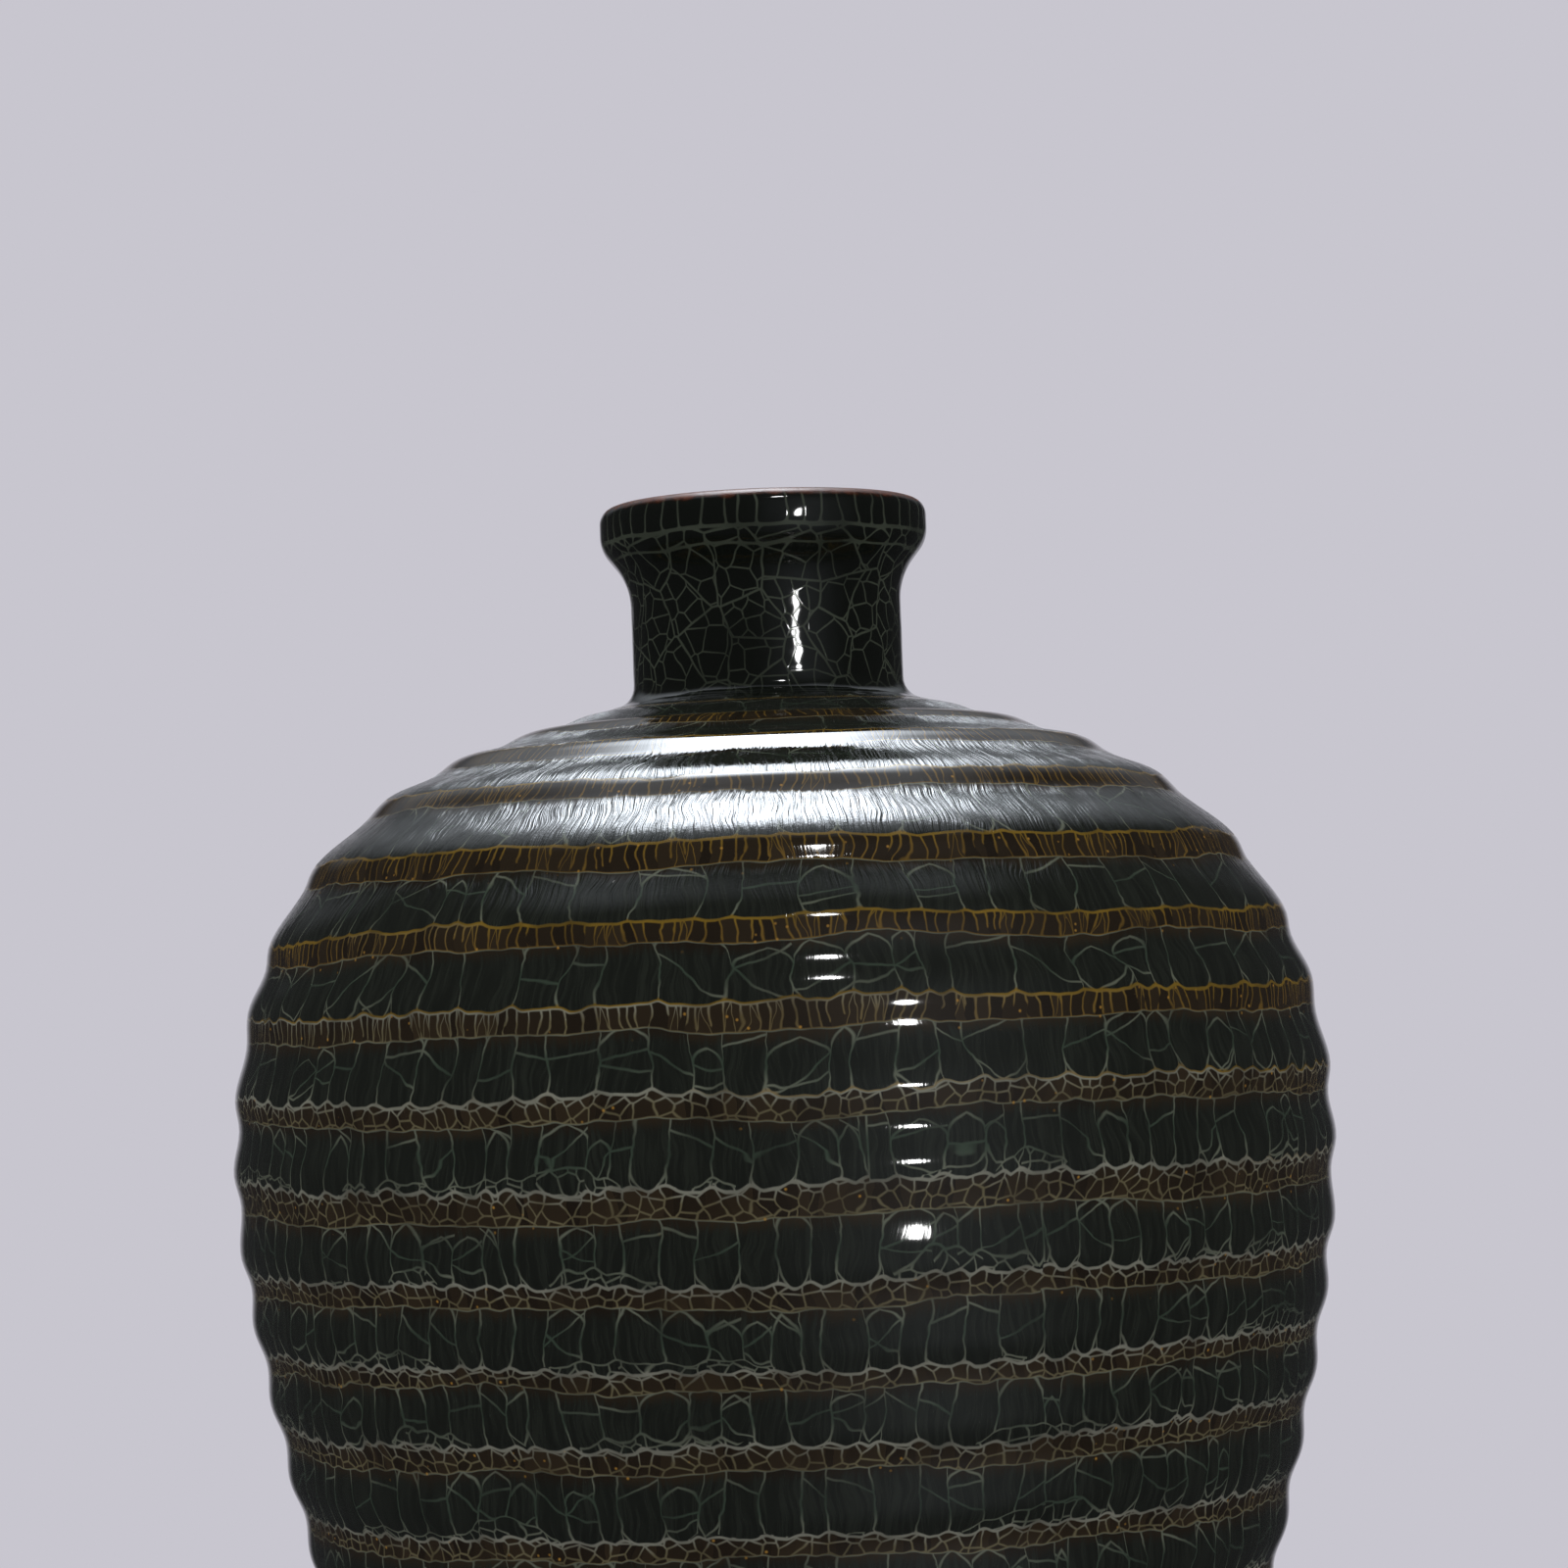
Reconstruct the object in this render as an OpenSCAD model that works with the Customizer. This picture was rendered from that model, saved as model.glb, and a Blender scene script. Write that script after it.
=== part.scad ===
// Plum vase with throwing rings, one fired and glazed piece.
// The whole vase is one wall line, swept round the Z axis. The outer face stands proud of that
// line by the throwing rings, and the inner face lies one wall thickness inside it.
// Z = 0 is the table that the foot ring rests on. All sizes are in millimetres.

/* [Body] */
// Diameter of the belly, midway between ring crests and hollows
belly_d = 199; // [180:1:240]
// Height of the widest point above the table
belly_z = 207; // [165:1:250]
// Rise from the widest point to the foot of the neck fillet
shoulder_rise = 81.4; // [66:0.2:100]
// How far the shoulder runs out straight from the neck before it turns down
shoulder_reach = 25; // [18:1:32]
// How far the belly's upright stretch reaches up into the shoulder
shoulder_fullness = 69; // [50:1:75]
// Slope of the shoulder where it leaves the neck, in degrees below level
shoulder_slope = 16.5; // [10:0.5:24]
// How far the belly's upright stretch reaches down towards the foot
belly_drop = 28; // [18:1:45]
// Wall thickness of body and neck
wall = 4.75; // [3.5:0.25:6.5]

/* [Throwing rings] */
// Distance along the wall from the neck fillet to the first crest
ring_first = 6.4; // [4:0.2:9]
// Distance from the first crest to the second, close under the neck
collar_pitch = 12; // [9:0.5:15]
// Distance between crests over the next part of the shoulder
shoulder_pitch = 15; // [12:0.1:18]
// How many rings keep the shoulder's distance
shoulder_rings = 4; // [2:1:5]
// Distance between crests from there down to the foot
body_pitch = 14; // [11:0.1:17]
// Height of a full crest above the hollows beside it
ring_depth = 1; // [0.4:0.1:1.6]
// Length of wall below the neck over which the rings grow to full height
ring_growth = 34; // [15:1:50]
// Height of the plain stretch above the foot, where the rings have died out
plain_foot = 14; // [6:1:25]

/* [Neck and lip] */
// Outer diameter of the neck
neck_d = 49.5; // [42:0.5:58]
// Height of the neck's upright wall between its fillet and the lip's undercut
neck_h = 14.2; // [8:0.2:30]
// Radius of the fillet between neck and shoulder
neck_fillet = 4.2; // [3:0.2:6]
// Outer diameter of the rolled lip
lip_d = 60; // [56:0.5:72]
// Height of the lip's upright outer band
lip_band = 2.3; // [1:0.1:5]
// Radius at the lip's top edge
lip_top_r = 3; // [2:0.1:4]
// Radius where the lip turns under
lip_under_r = 6.5; // [4:0.1:9]
// Radius of the hollow between lip and neck
lip_hollow_r = 12; // [8:0.1:16]
// Steepest turn of the lip's underside, in degrees from upright
lip_turn = 38; // [25:1:50]
// Radius where the bore opens at the mouth
mouth_r = 2.5; // [1.5:0.1:4]

/* [Foot] */
// Diameter of the foot
foot_d = 104; // [84:1:120]
// Lean of the wall where it meets the foot, in millimetres out for each millimetre up
foot_lean = 0.265; // [0.15:0.005:0.3]
// How far the foot's straight lean reaches up the wall
foot_reach = 152; // [90:1:160]
// Width of the unglazed ring that the vase stands on
foot_ring_w = 7; // [5:0.5:12]
// Bevel at the outer edge of the foot
foot_bevel = 1.5; // [0.5:0.1:3]
// Depth of the recess under the base
foot_recess = 5; // [3:0.5:9]
// Thickness of the floor above the recess
floor_t = 7; // [5:0.5:12]
// Radius between floor and wall on the inside
floor_r = 14; // [8:1:20]

/* [Hidden] */

// Distance between the points of the wall line, steps in each small arc, and steps round the vase
line_step = 1.2;
fillet_steps = 8;
round_steps = 240;
// Height of the first two crests below the neck, as a share of a full crest
ring_start_share = 0.35;
// Width of the bevel on the inner edge of the foot ring
recess_bevel = 1;

glaze_colour = "#27302a";

neck_r = neck_d / 2;
belly_r = belly_d / 2;
foot_r = foot_d / 2;
lip_r = lip_d / 2;
bore_r = neck_r - wall;

// Heights, from the table up
fillet_z = belly_z + shoulder_rise + neck_fillet * cos(shoulder_slope);
hollow_z = fillet_z + neck_h;

// The lip's underside is a convex arc, a straight run and a hollow arc that ends upright on the neck.
// With little overhang there is no straight run, and both arcs turn less.
overhang = lip_r - neck_r;
under_turn = min(lip_turn, acos(1 - overhang / (lip_under_r + lip_hollow_r)));
straight_out = overhang - (lip_under_r + lip_hollow_r) * (1 - cos(under_turn));
straight_up = straight_out / tan(under_turn);
turn_z = hollow_z + lip_hollow_r * sin(under_turn) + straight_up;
band_z = turn_z + lip_under_r * sin(under_turn);
height = band_z + lip_band + lip_top_r;

floor_z = foot_recess + floor_t;

function unit(v) = v / norm(v);

// Outward side of a wall line that runs from the neck down to the foot
function outward(run) = [-run.y, run.x];

function arc(centre, r, from, to, steps) =
    [for (i = [0:steps]) let (a = from + (to - from) * i / steps) centre + r * [cos(a), sin(a)]];

function bezier(p, t) =
    pow(1 - t, 3) * p[0] + 3 * pow(1 - t, 2) * t * p[1] + 3 * (1 - t) * t * t * p[2] + pow(t, 3) * p[3];

function bezier_run(p, t) =
    unit(pow(1 - t, 2) * (p[1] - p[0]) + 2 * (1 - t) * t * (p[2] - p[1]) + t * t * (p[3] - p[2]));

function smooth(x) = let (c = max(0, min(1, x))) c * c * (3 - 2 * c);

// Distance travelled along a list of points, one value for each point
function travelled(p) =
    [for (i = 0, s = 0; i < len(p); i = i + 1, s = s + (i < len(p) ? norm(p[i] - p[i - 1]) : 0)) s];

// Shoulder: leaves the neck fillet at the shoulder's slope and arrives upright at the belly
shoulder_run = [cos(shoulder_slope), -sin(shoulder_slope)];
shoulder_start = [neck_r + neck_fillet, fillet_z] - neck_fillet * outward(shoulder_run);
shoulder = [
    shoulder_start,
    shoulder_start + shoulder_reach * shoulder_run,
    [belly_r, belly_z + shoulder_fullness],
    [belly_r, belly_z]
];

// Lower body: leaves the belly upright and arrives at the foot with the foot's lean
taper = [
    [belly_r, belly_z],
    [belly_r, belly_z - belly_drop],
    [foot_r + foot_lean * foot_reach, foot_reach],
    [foot_r, 0]
];

// Wall line from neck fillet to table, with the outward direction at each of its points
shoulder_steps = round((shoulder_rise + belly_r - neck_r) * 0.8 / line_step);
taper_steps = round(belly_z / line_step);
body_line = concat(
    [for (i = [0:shoulder_steps - 1]) bezier(shoulder, i / shoulder_steps)],
    [for (i = [0:taper_steps]) bezier(taper, i / taper_steps)]
);
body_out = concat(
    [for (i = [0:shoulder_steps - 1]) outward(bezier_run(shoulder, i / shoulder_steps))],
    [for (i = [0:taper_steps]) outward(bezier_run(taper, i / taper_steps))]
);
body_travel = travelled(body_line);

// Number of rings passed at a distance along the wall, whole at each crest
collar_end = ring_first + collar_pitch;
shoulder_end = collar_end + shoulder_rings * shoulder_pitch;
function rings_passed(travel) =
    travel < collar_end ? (travel - ring_first) / collar_pitch
    : travel < shoulder_end ? 1 + (travel - collar_end) / shoulder_pitch
    : 1 + shoulder_rings + (travel - shoulder_end) / body_pitch;

// Height of the rings above the wall line: a wave that grows below the neck and dies out at the foot
function ring_size(travel, z) =
    ring_depth / 2
    * (ring_start_share + (1 - ring_start_share) * smooth(travel / ring_growth))
    * smooth(travel / ring_first)
    * smooth((z - plain_foot) / body_pitch);

function ring_height(travel, z) = ring_size(travel, z) * cos(360 * rings_passed(travel));

outer_body = [
    for (i = [0:len(body_line) - 1])
        if (body_line[i].y > foot_bevel)
            body_line[i] + ring_height(body_travel[i], body_line[i].y) * body_out[i]
];

inner_body = [
    for (i = [0:len(body_line) - 1])
        let (p = body_line[i] - wall * body_out[i])
            if (p.y > floor_z + floor_r) p
];

// Mouth and lip, from the bore over the top and under to the neck
lip_outline = concat(
    arc([bore_r + mouth_r, height - mouth_r], mouth_r, 180, 90, fillet_steps),
    arc([lip_r - lip_top_r, height - lip_top_r], lip_top_r, 90, 0, fillet_steps),
    arc([lip_r - lip_under_r, band_z], lip_under_r, 0, -under_turn, fillet_steps),
    arc([neck_r + lip_hollow_r, hollow_z], lip_hollow_r, 180 - under_turn, 180, fillet_steps)
);

// Fillets outside and inside where neck and shoulder meet, about one centre so that the wall stays even
fillet_centre = [neck_r + neck_fillet, fillet_z];
outer_fillet = arc(fillet_centre, neck_fillet, 180, 270 - shoulder_slope, fillet_steps);
inner_fillet = arc(fillet_centre, neck_fillet + wall, 270 - shoulder_slope, 180, fillet_steps);

// Foot: bevelled edge, flat ring to stand on, and the recess under the floor
recess_r = foot_r - foot_ring_w;
bevel_r = foot_r + foot_lean * foot_bevel;
foot_outline = [
    [bevel_r, foot_bevel],
    [foot_r - foot_bevel, 0],
    [recess_r, 0],
    [recess_r - recess_bevel, recess_bevel],
    [recess_r - recess_bevel, foot_recess],
    [0, foot_recess]
];

// Floor inside, turned up into the wall by a rounded corner
wall_foot = inner_body[len(inner_body) - 1];
wall_run = unit(wall_foot - inner_body[len(inner_body) - 2]);
corner = wall_foot + wall_run * (wall_foot.y - floor_z) / -wall_run.y;
floor_edge = corner - [floor_r, 0];
floor_outline = concat(
    [[0, floor_z]],
    [for (i = [0:fillet_steps]) let (t = i / fillet_steps)
        pow(1 - t, 2) * floor_edge + 2 * (1 - t) * t * corner + t * t * wall_foot]
);

function reversed(p) = [for (i = [len(p) - 1:-1:0]) p[i]];
function without_ends(p) = [for (i = [1:len(p) - 2]) p[i]];

module vase() {
    color(glaze_colour)
        rotate_extrude($fn = round_steps)
            polygon(concat(
                lip_outline,
                outer_fillet,
                [for (i = [1:len(outer_body) - 1]) outer_body[i]],
                foot_outline,
                floor_outline,
                reversed(without_ends(inner_body)),
                inner_fillet
            ));
}

vase();
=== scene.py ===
# %% [markdown]
# # A plum vase in crackle glaze
#
# The object is one piece of stoneware: thrown on the wheel, dipped in glaze and fired once. Its fixed
# shape and size come from the CAD part. This lesson gives it a finer skin and the finish of the real
# one: a dark green glaze that runs thin and brown over the throwing rings, with a net of fine cracks.

# %% Load the fixed part
import math
import random

import bpy
import numpy as np
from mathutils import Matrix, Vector


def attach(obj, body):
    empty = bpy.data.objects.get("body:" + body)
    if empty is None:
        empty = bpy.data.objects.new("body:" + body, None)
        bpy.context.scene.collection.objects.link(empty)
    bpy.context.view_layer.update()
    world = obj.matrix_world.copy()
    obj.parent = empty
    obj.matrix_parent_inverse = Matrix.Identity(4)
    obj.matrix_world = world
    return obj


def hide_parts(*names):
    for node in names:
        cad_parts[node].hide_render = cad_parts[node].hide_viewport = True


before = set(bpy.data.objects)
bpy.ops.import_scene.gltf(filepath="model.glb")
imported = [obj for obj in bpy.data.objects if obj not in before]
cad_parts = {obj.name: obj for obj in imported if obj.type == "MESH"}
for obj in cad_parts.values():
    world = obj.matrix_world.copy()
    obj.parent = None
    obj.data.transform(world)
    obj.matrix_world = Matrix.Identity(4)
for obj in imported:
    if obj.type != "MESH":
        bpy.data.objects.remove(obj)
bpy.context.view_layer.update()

random.seed(7)

# %% [markdown]
# ## The turned outline
#
# A thrown pot is a body of revolution, so one outline says it all. It could be traced from the CAD
# mesh, but that mesh is too coarse for close-up gloss. The outline is therefore drawn again from the
# same sizes: two smooth curves that meet at the belly, with the throwing rings as a wave on top.

# %% Sizes of the vase in millimetres, as in the CAD part
BELLY_R, BELLY_Z, BELLY_DROP = 99.5, 207.0, 28.0
SHOULDER_RISE, SHOULDER_REACH, SHOULDER_FULLNESS = 81.4, 25.0, 69.0
SHOULDER_SLOPE = math.radians(16.5)
WALL = 4.75
RING_FIRST, BODY_PITCH, RING_DEPTH = 6.4, 14.0, 1.0
RING_GROWTH, RING_START_SHARE, PLAIN_FOOT = 34.0, 0.35, 14.0
NECK_R, NECK_H, NECK_FILLET = 24.75, 14.2, 4.2
LIP_R, LIP_BAND, LIP_TOP_R, LIP_UNDER_R, LIP_HOLLOW_R = 30.0, 2.3, 3.0, 6.5, 12.0
LIP_TURN, MOUTH_R = math.radians(38.0), 2.5
FOOT_R, FOOT_LEAN, FOOT_REACH, FOOT_RING_W, FOOT_BEVEL = 52.0, 0.265, 152.0, 7.0, 1.5
FOOT_RECESS, FLOOR_T, FLOOR_R, RECESS_BEVEL = 5.0, 7.0, 14.0, 1.0
print(f"belly {2 * BELLY_R:.0f} mm, neck {2 * NECK_R:.1f} mm, lip {2 * LIP_R:.0f} mm across")


# %% The outline's curves
def smooth(x):
    """Eases from 0 to 1 with no kink at either end."""
    x = np.clip(x, 0, 1)
    return x * x * (3 - 2 * x)


def arc(centre_r, centre_z, radius, start, stop, steps):
    """Points on an arc in the outline, by angle in radians."""
    a = np.linspace(start, stop, steps)
    return np.column_stack([centre_r + radius * np.cos(a), centre_z + radius * np.sin(a)])


def curve(p, steps=400):
    """Points on a Bezier curve and the outward direction at each."""
    t = np.linspace(0, 1, steps)[:, None]
    p = np.asarray(p, float)
    points = (1 - t) ** 3 * p[0] + 3 * (1 - t) ** 2 * t * p[1] + 3 * (1 - t) * t * t * p[2] + t ** 3 * p[3]
    run = (1 - t) ** 2 * (p[1] - p[0]) + 2 * (1 - t) * t * (p[2] - p[1]) + t * t * (p[3] - p[2])
    run /= np.linalg.norm(run, axis=1)[:, None]
    return points, np.column_stack([-run[:, 1], run[:, 0]])


def travelled(points):
    """Distance walked along the points."""
    steps = np.linalg.norm(np.diff(points, axis=0), axis=1)
    return np.concatenate([[0], np.cumsum(steps)])


def even(points, step):
    """The same line with points at even steps."""
    s = travelled(points)
    at = np.linspace(0, s[-1], max(2, round(s[-1] / step) + 1))
    return np.column_stack([np.interp(at, s, points[:, 0]), np.interp(at, s, points[:, 1])])


# %% Wall line from the neck fillet to the table
fillet_z = BELLY_Z + SHOULDER_RISE + NECK_FILLET * math.cos(SHOULDER_SLOPE)
slope = np.array([math.cos(SHOULDER_SLOPE), -math.sin(SHOULDER_SLOPE)])
start = np.array([NECK_R + NECK_FILLET, fillet_z]) - NECK_FILLET * np.array([-slope[1], slope[0]])
shoulder, shoulder_out = curve([start, start + SHOULDER_REACH * slope,
                                (BELLY_R, BELLY_Z + SHOULDER_FULLNESS), (BELLY_R, BELLY_Z)])
taper, taper_out = curve([(BELLY_R, BELLY_Z), (BELLY_R, BELLY_Z - BELLY_DROP),
                          (FOOT_R + FOOT_LEAN * FOOT_REACH, FOOT_REACH), (FOOT_R, 0)])
wall = np.vstack([shoulder[:-1], taper])
wall_out = np.vstack([shoulder_out[:-1], taper_out])
wall_run = travelled(wall)
print(f"wall line {wall_run[-1]:.1f} mm long")

# %% [markdown]
# ## Throwing rings
#
# Each ring is the track of a fingertip. The CAD part sets its rings in even runs, and a sine wave for
# each run would do the same here. But on a gloss pot each reflection sits on a crest, so the crests and
# hollows are set one by one, as the real pot shows them, and only the unseen lower ones are even.

# %% Crests and hollows down the wall
# Distance along the wall of each turn of the wave, in millimetres: hollow, crest, hollow and so on
RING_TURNS = [0.4, 6.4, 11.5, 17.5, 23.5, 31, 36.8, 45.6, 52.3, 63.4, 68.8, 79.4, 84.5, 92, 99, 107.8,
              113.6, 121, 127.2, 135.8, 141.8]
while RING_TURNS[-1] < wall_run[-1]:
    RING_TURNS.append(RING_TURNS[-1] + BODY_PITCH / 2)
half_turns = np.interp(wall_run, RING_TURNS, range(1, len(RING_TURNS) + 1))
growth = RING_START_SHARE + (1 - RING_START_SHARE) * smooth(wall_run / RING_GROWTH)
ring_size = (RING_DEPTH / 2 * growth * smooth(wall_run / RING_FIRST)
             * smooth((wall[:, 1] - PLAIN_FOOT) / BODY_PITCH))
outside = wall + (ring_size * np.cos(np.pi * half_turns))[:, None] * wall_out
print(f"{len(RING_TURNS) // 2} rings")

# %% [markdown]
# ## Lip, neck, foot and inside
#
# The lip is rolled over by the thumb, and the foot is cut with a turning tool, so the one is all arcs
# and the other all straight lines. The rest of the wall has the same thickness everywhere, so its inner
# face is the wall line moved inward. Curved stretches get close rows and the smooth inside gets few.

# %% Rows of the skin and the lip's outline
ROW_STEP = 1.35        # millimetres between rows on the glazed outside, ten to a ring
INSIDE_STEP = 6.0      # the same inside, which is smooth
COLUMNS = 240          # steps round the vase
MOUTH_ROWS, LIP_TOP_ROWS, LIP_UNDER_ROWS, LIP_HOLLOW_ROWS, FILLET_ROWS, CORNER_ROWS = 7, 8, 9, 12, 7, 8

overhang = LIP_R - NECK_R
under_turn = min(LIP_TURN, math.acos(1 - overhang / (LIP_UNDER_R + LIP_HOLLOW_R)))
hollow_z = fillet_z + NECK_H
straight = overhang - (LIP_UNDER_R + LIP_HOLLOW_R) * (1 - math.cos(under_turn))
turn_z = hollow_z + LIP_HOLLOW_R * math.sin(under_turn) + straight / math.tan(under_turn)
band_z = turn_z + LIP_UNDER_R * math.sin(under_turn)
height = band_z + LIP_BAND + LIP_TOP_R
bore_r = NECK_R - WALL
right_angle = math.pi / 2
lip = np.vstack([
    arc(bore_r + MOUTH_R, height - MOUTH_R, MOUTH_R, 2 * right_angle, right_angle, MOUTH_ROWS),
    arc(LIP_R - LIP_TOP_R, height - LIP_TOP_R, LIP_TOP_R, right_angle, 0, LIP_TOP_ROWS),
    arc(LIP_R - LIP_UNDER_R, band_z, LIP_UNDER_R, 0, -under_turn, LIP_UNDER_ROWS),
    arc(NECK_R + LIP_HOLLOW_R, hollow_z, LIP_HOLLOW_R, math.pi - under_turn, math.pi, LIP_HOLLOW_ROWS),
])
print(f"height {height:.2f} mm, bore {2 * bore_r:.1f} mm")

# %% Neck, body, foot and inside
fillet_end = 3 * right_angle - SHOULDER_SLOPE
neck = np.vstack([
    even(np.array([lip[-1], (NECK_R, fillet_z)]), ROW_STEP)[1:-1],
    arc(NECK_R + NECK_FILLET, fillet_z, NECK_FILLET, math.pi, fillet_end, FILLET_ROWS),
])
glazed = outside[outside[:, 1] > FOOT_BEVEL]
body = even(glazed, ROW_STEP)[1:]
body_share = np.linspace(0, 1, len(body) + 1)[1:]
body_along = np.interp(body_share * travelled(glazed)[-1], travelled(glazed), wall_run[:len(glazed)])

recess_r = FOOT_R - FOOT_RING_W
RECESS_ROWS, FLOOR_ROW = (30, 15), 18      # radii of the rows across the recess and the floor
foot = np.array([
    (FOOT_R + FOOT_LEAN * FOOT_BEVEL, FOOT_BEVEL), (FOOT_R - FOOT_BEVEL, 0), (recess_r, 0),
    (recess_r - RECESS_BEVEL, RECESS_BEVEL), (recess_r - RECESS_BEVEL, FOOT_RECESS),
    *[(r, FOOT_RECESS) for r in RECESS_ROWS],
])

floor_z = FOOT_RECESS + FLOOR_T
inner = wall - WALL * wall_out
inner = even(inner[inner[:, 1] > floor_z + FLOOR_R], INSIDE_STEP)
inner_lean = (inner[-1] - inner[-2]) / np.linalg.norm(inner[-1] - inner[-2])
corner = inner[-1] + inner_lean * (inner[-1][1] - floor_z) / -inner_lean[1]
t = np.linspace(0, 1, CORNER_ROWS)[:, None]
floor_corner = (1 - t) ** 2 * inner[-1] + 2 * (1 - t) * t * corner + t * t * (corner - [FLOOR_R, 0])
inner_fillet = arc(NECK_R + NECK_FILLET, fillet_z, NECK_FILLET + WALL, math.pi, fillet_end, CORNER_ROWS)
inside = np.vstack([inner_fillet, inner[1:], floor_corner[1:], [(FLOOR_ROW, floor_z)]])
print(f"rows: lip {len(lip)}, neck {len(neck)}, body {len(body)}, foot {len(foot)}, inside {len(inside)}")

# %% [markdown]
# ## One closed skin
#
# The outline runs from the middle of the recess under the foot, up the outside, over the lip and down
# to the middle of the floor inside. Swept round the axis it closes into one watertight skin, and each
# stretch of it takes its own finish: clay, body glaze, neck glaze, inner glaze. A hand never leaves
# rings quite even, so the wall swells and fades a little on its way round. The skin only ever moves
# inward for this, and by a fifth of a millimetre at most, so the vase stays inside its CAD box.

# %% Rows of the skin, from under the foot to the floor inside
GLAZE, NECK_GLAZE, CLAY, INNER_GLAZE = range(4)
stretches = [(foot[::-1], CLAY), (body[::-1], GLAZE), (neck[::-1], NECK_GLAZE), (lip[::-1], NECK_GLAZE),
             (inside, INNER_GLAZE)]
rows = np.vstack([points for points, _ in stretches])
finish = np.concatenate([[number] * len(points) for points, number in stretches])

# Distance along the wall line, in millimetres: 0 at the neck fillet, growing towards the foot
along = -travelled(rows)
along -= along[len(foot) + len(body)]
along[len(foot):len(foot) + len(body)] = body_along[::-1]
print(f"{len(rows)} rows, {along.max():.1f} mm from the neck to the middle of the underside")

# %% Hand-made unevenness
UNEVEN = 0.1           # millimetres either way
UNEVEN_WAVES = (1, 2, 3, 5)
turn = np.linspace(-math.pi, math.pi, COLUMNS, endpoint=False)
uneven = sum(random.uniform(0.5, 1) * np.sin(k * turn[None, :] + random.uniform(0, 6.28)
             + along[:, None] / random.uniform(9, 30)) for k in UNEVEN_WAVES)
uneven = uneven / abs(uneven).max()
on_body = (finish == GLAZE)[:, None] * smooth(along / 20)[:, None]
radius = np.repeat(rows[:, :1], COLUMNS, axis=1) - UNEVEN * (1 + uneven) * on_body
height_at = np.repeat(rows[:, 1:], COLUMNS, axis=1)
print(f"unevenness: up to {2 * UNEVEN * on_body.max():.2f} mm inward")

# %% Points and faces
MM = 0.001             # a millimetre in metres
x, y = radius * np.sin(turn), -radius * np.cos(turn)
points = np.stack([x, y, height_at], axis=2).reshape(-1, 3)
points = np.vstack([points, [(0, 0, FOOT_RECESS), (0, 0, floor_z)]]) * MM
under_pole, floor_pole = len(points) - 2, len(points) - 1
last = len(rows) - 1
faces, face_finish = [], []
for j in range(COLUMNS):
    k = (j + 1) % COLUMNS
    faces.append((under_pole, k, j))
    face_finish.append(CLAY)
    faces.append((last * COLUMNS + j, last * COLUMNS + k, floor_pole))
    face_finish.append(INNER_GLAZE)
for i in range(last):
    for j in range(COLUMNS):
        k = (j + 1) % COLUMNS
        faces.append((i * COLUMNS + j, i * COLUMNS + k, (i + 1) * COLUMNS + k, (i + 1) * COLUMNS + j))
        face_finish.append(CLAY if finish[i] == CLAY else finish[i + 1])
print(f"{sum(len(f) - 2 for f in faces)} triangles")

# %% The skin takes the place of the CAD vase
SHARP_FROM = math.radians(35)
mesh = bpy.data.meshes.new("vase_skin")
mesh.from_pydata(points.tolist(), [], faces)
mesh.polygons.foreach_set("material_index", np.array(face_finish, dtype=np.int32))
mesh.shade_smooth()
mesh.set_sharp_from_angle(angle=SHARP_FROM)
skin = bpy.data.objects.new("vase_skin", mesh)
bpy.context.scene.collection.objects.link(skin)
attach(skin, "root")
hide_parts("vase")
print("skin rides the root body and replaces the CAD vase")

# %% [markdown]
# ## Where the glaze breaks
#
# Near each ring crest the glaze ran thin and fired brown, in a band 3 to 6 mm tall. The bands don't
# sit exactly on the crests: they slip lower down the body, as runny glaze does. So the top line of each
# band is a distance along the wall of its own. The shader needs to know, at any point, which band it is
# nearest and how far below its top line it lies, so both are stored on the mesh.

# %% Band tops and heights
BAND_TOPS = [3, 15.5, 30, 46.3, 63, 78.8, 93, 107.6, 122.3, 138, 152.2, 165, 181]
BAND_HEIGHTS = [1.2, 5, 5, 4.5, 5, 4.1, 4.5, 4.2, 5.6, 4.2, 3.4, 4.4, 4]
BAND_GAP = 14.9        # between the tops of the bands further down
while BAND_TOPS[-1] < wall_run[-1] + BAND_GAP:
    BAND_TOPS.append(BAND_TOPS[-1] + BAND_GAP)
    BAND_HEIGHTS.append(random.uniform(3, 5))
tops = np.array([BAND_TOPS[0] - BAND_GAP, *BAND_TOPS])
band_at = np.interp(along, tops, np.arange(-1, len(BAND_TOPS)))
gaps = np.diff(tops)
gap_at = np.interp(along, (tops[1:] + tops[:-1]) / 2, gaps)

# A band's height holds over most of its stretch and changes to the next one's near its end
HOLDS_FROM, HOLDS_TO = -0.2, 0.7
height_rows = [number + side for number in range(len(BAND_TOPS)) for side in (HOLDS_FROM, HOLDS_TO)]
band_height_at = np.interp(band_at, height_rows, np.repeat(BAND_HEIGHTS, 2))
girths = [float(np.interp(top + gap / 2, wall_run, wall[:, 0])) for top, gap in zip(tops[1:-1], gaps[1:])]
print(f"{len(BAND_TOPS)} bands; radius at the first {girths[0]:.1f} mm, at the widest {max(girths):.1f} mm")


# %% Band positions stored on the mesh
def store(name, values):
    """Keeps one number for each point of the skin, where the shader can read it."""
    per_point = np.concatenate([np.repeat(values, COLUMNS), [values[0], values[-1]]])
    mesh.attributes.new(name, "FLOAT", "POINT").data.foreach_set("value", per_point.astype(np.float32))
    print(f"{name}: from {values.min():.1f} to {values.max():.1f}")


store("along_mm", along)
store("band", band_at)
store("band_gap_mm", gap_at)
store("band_h_mm", band_height_at)


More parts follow.
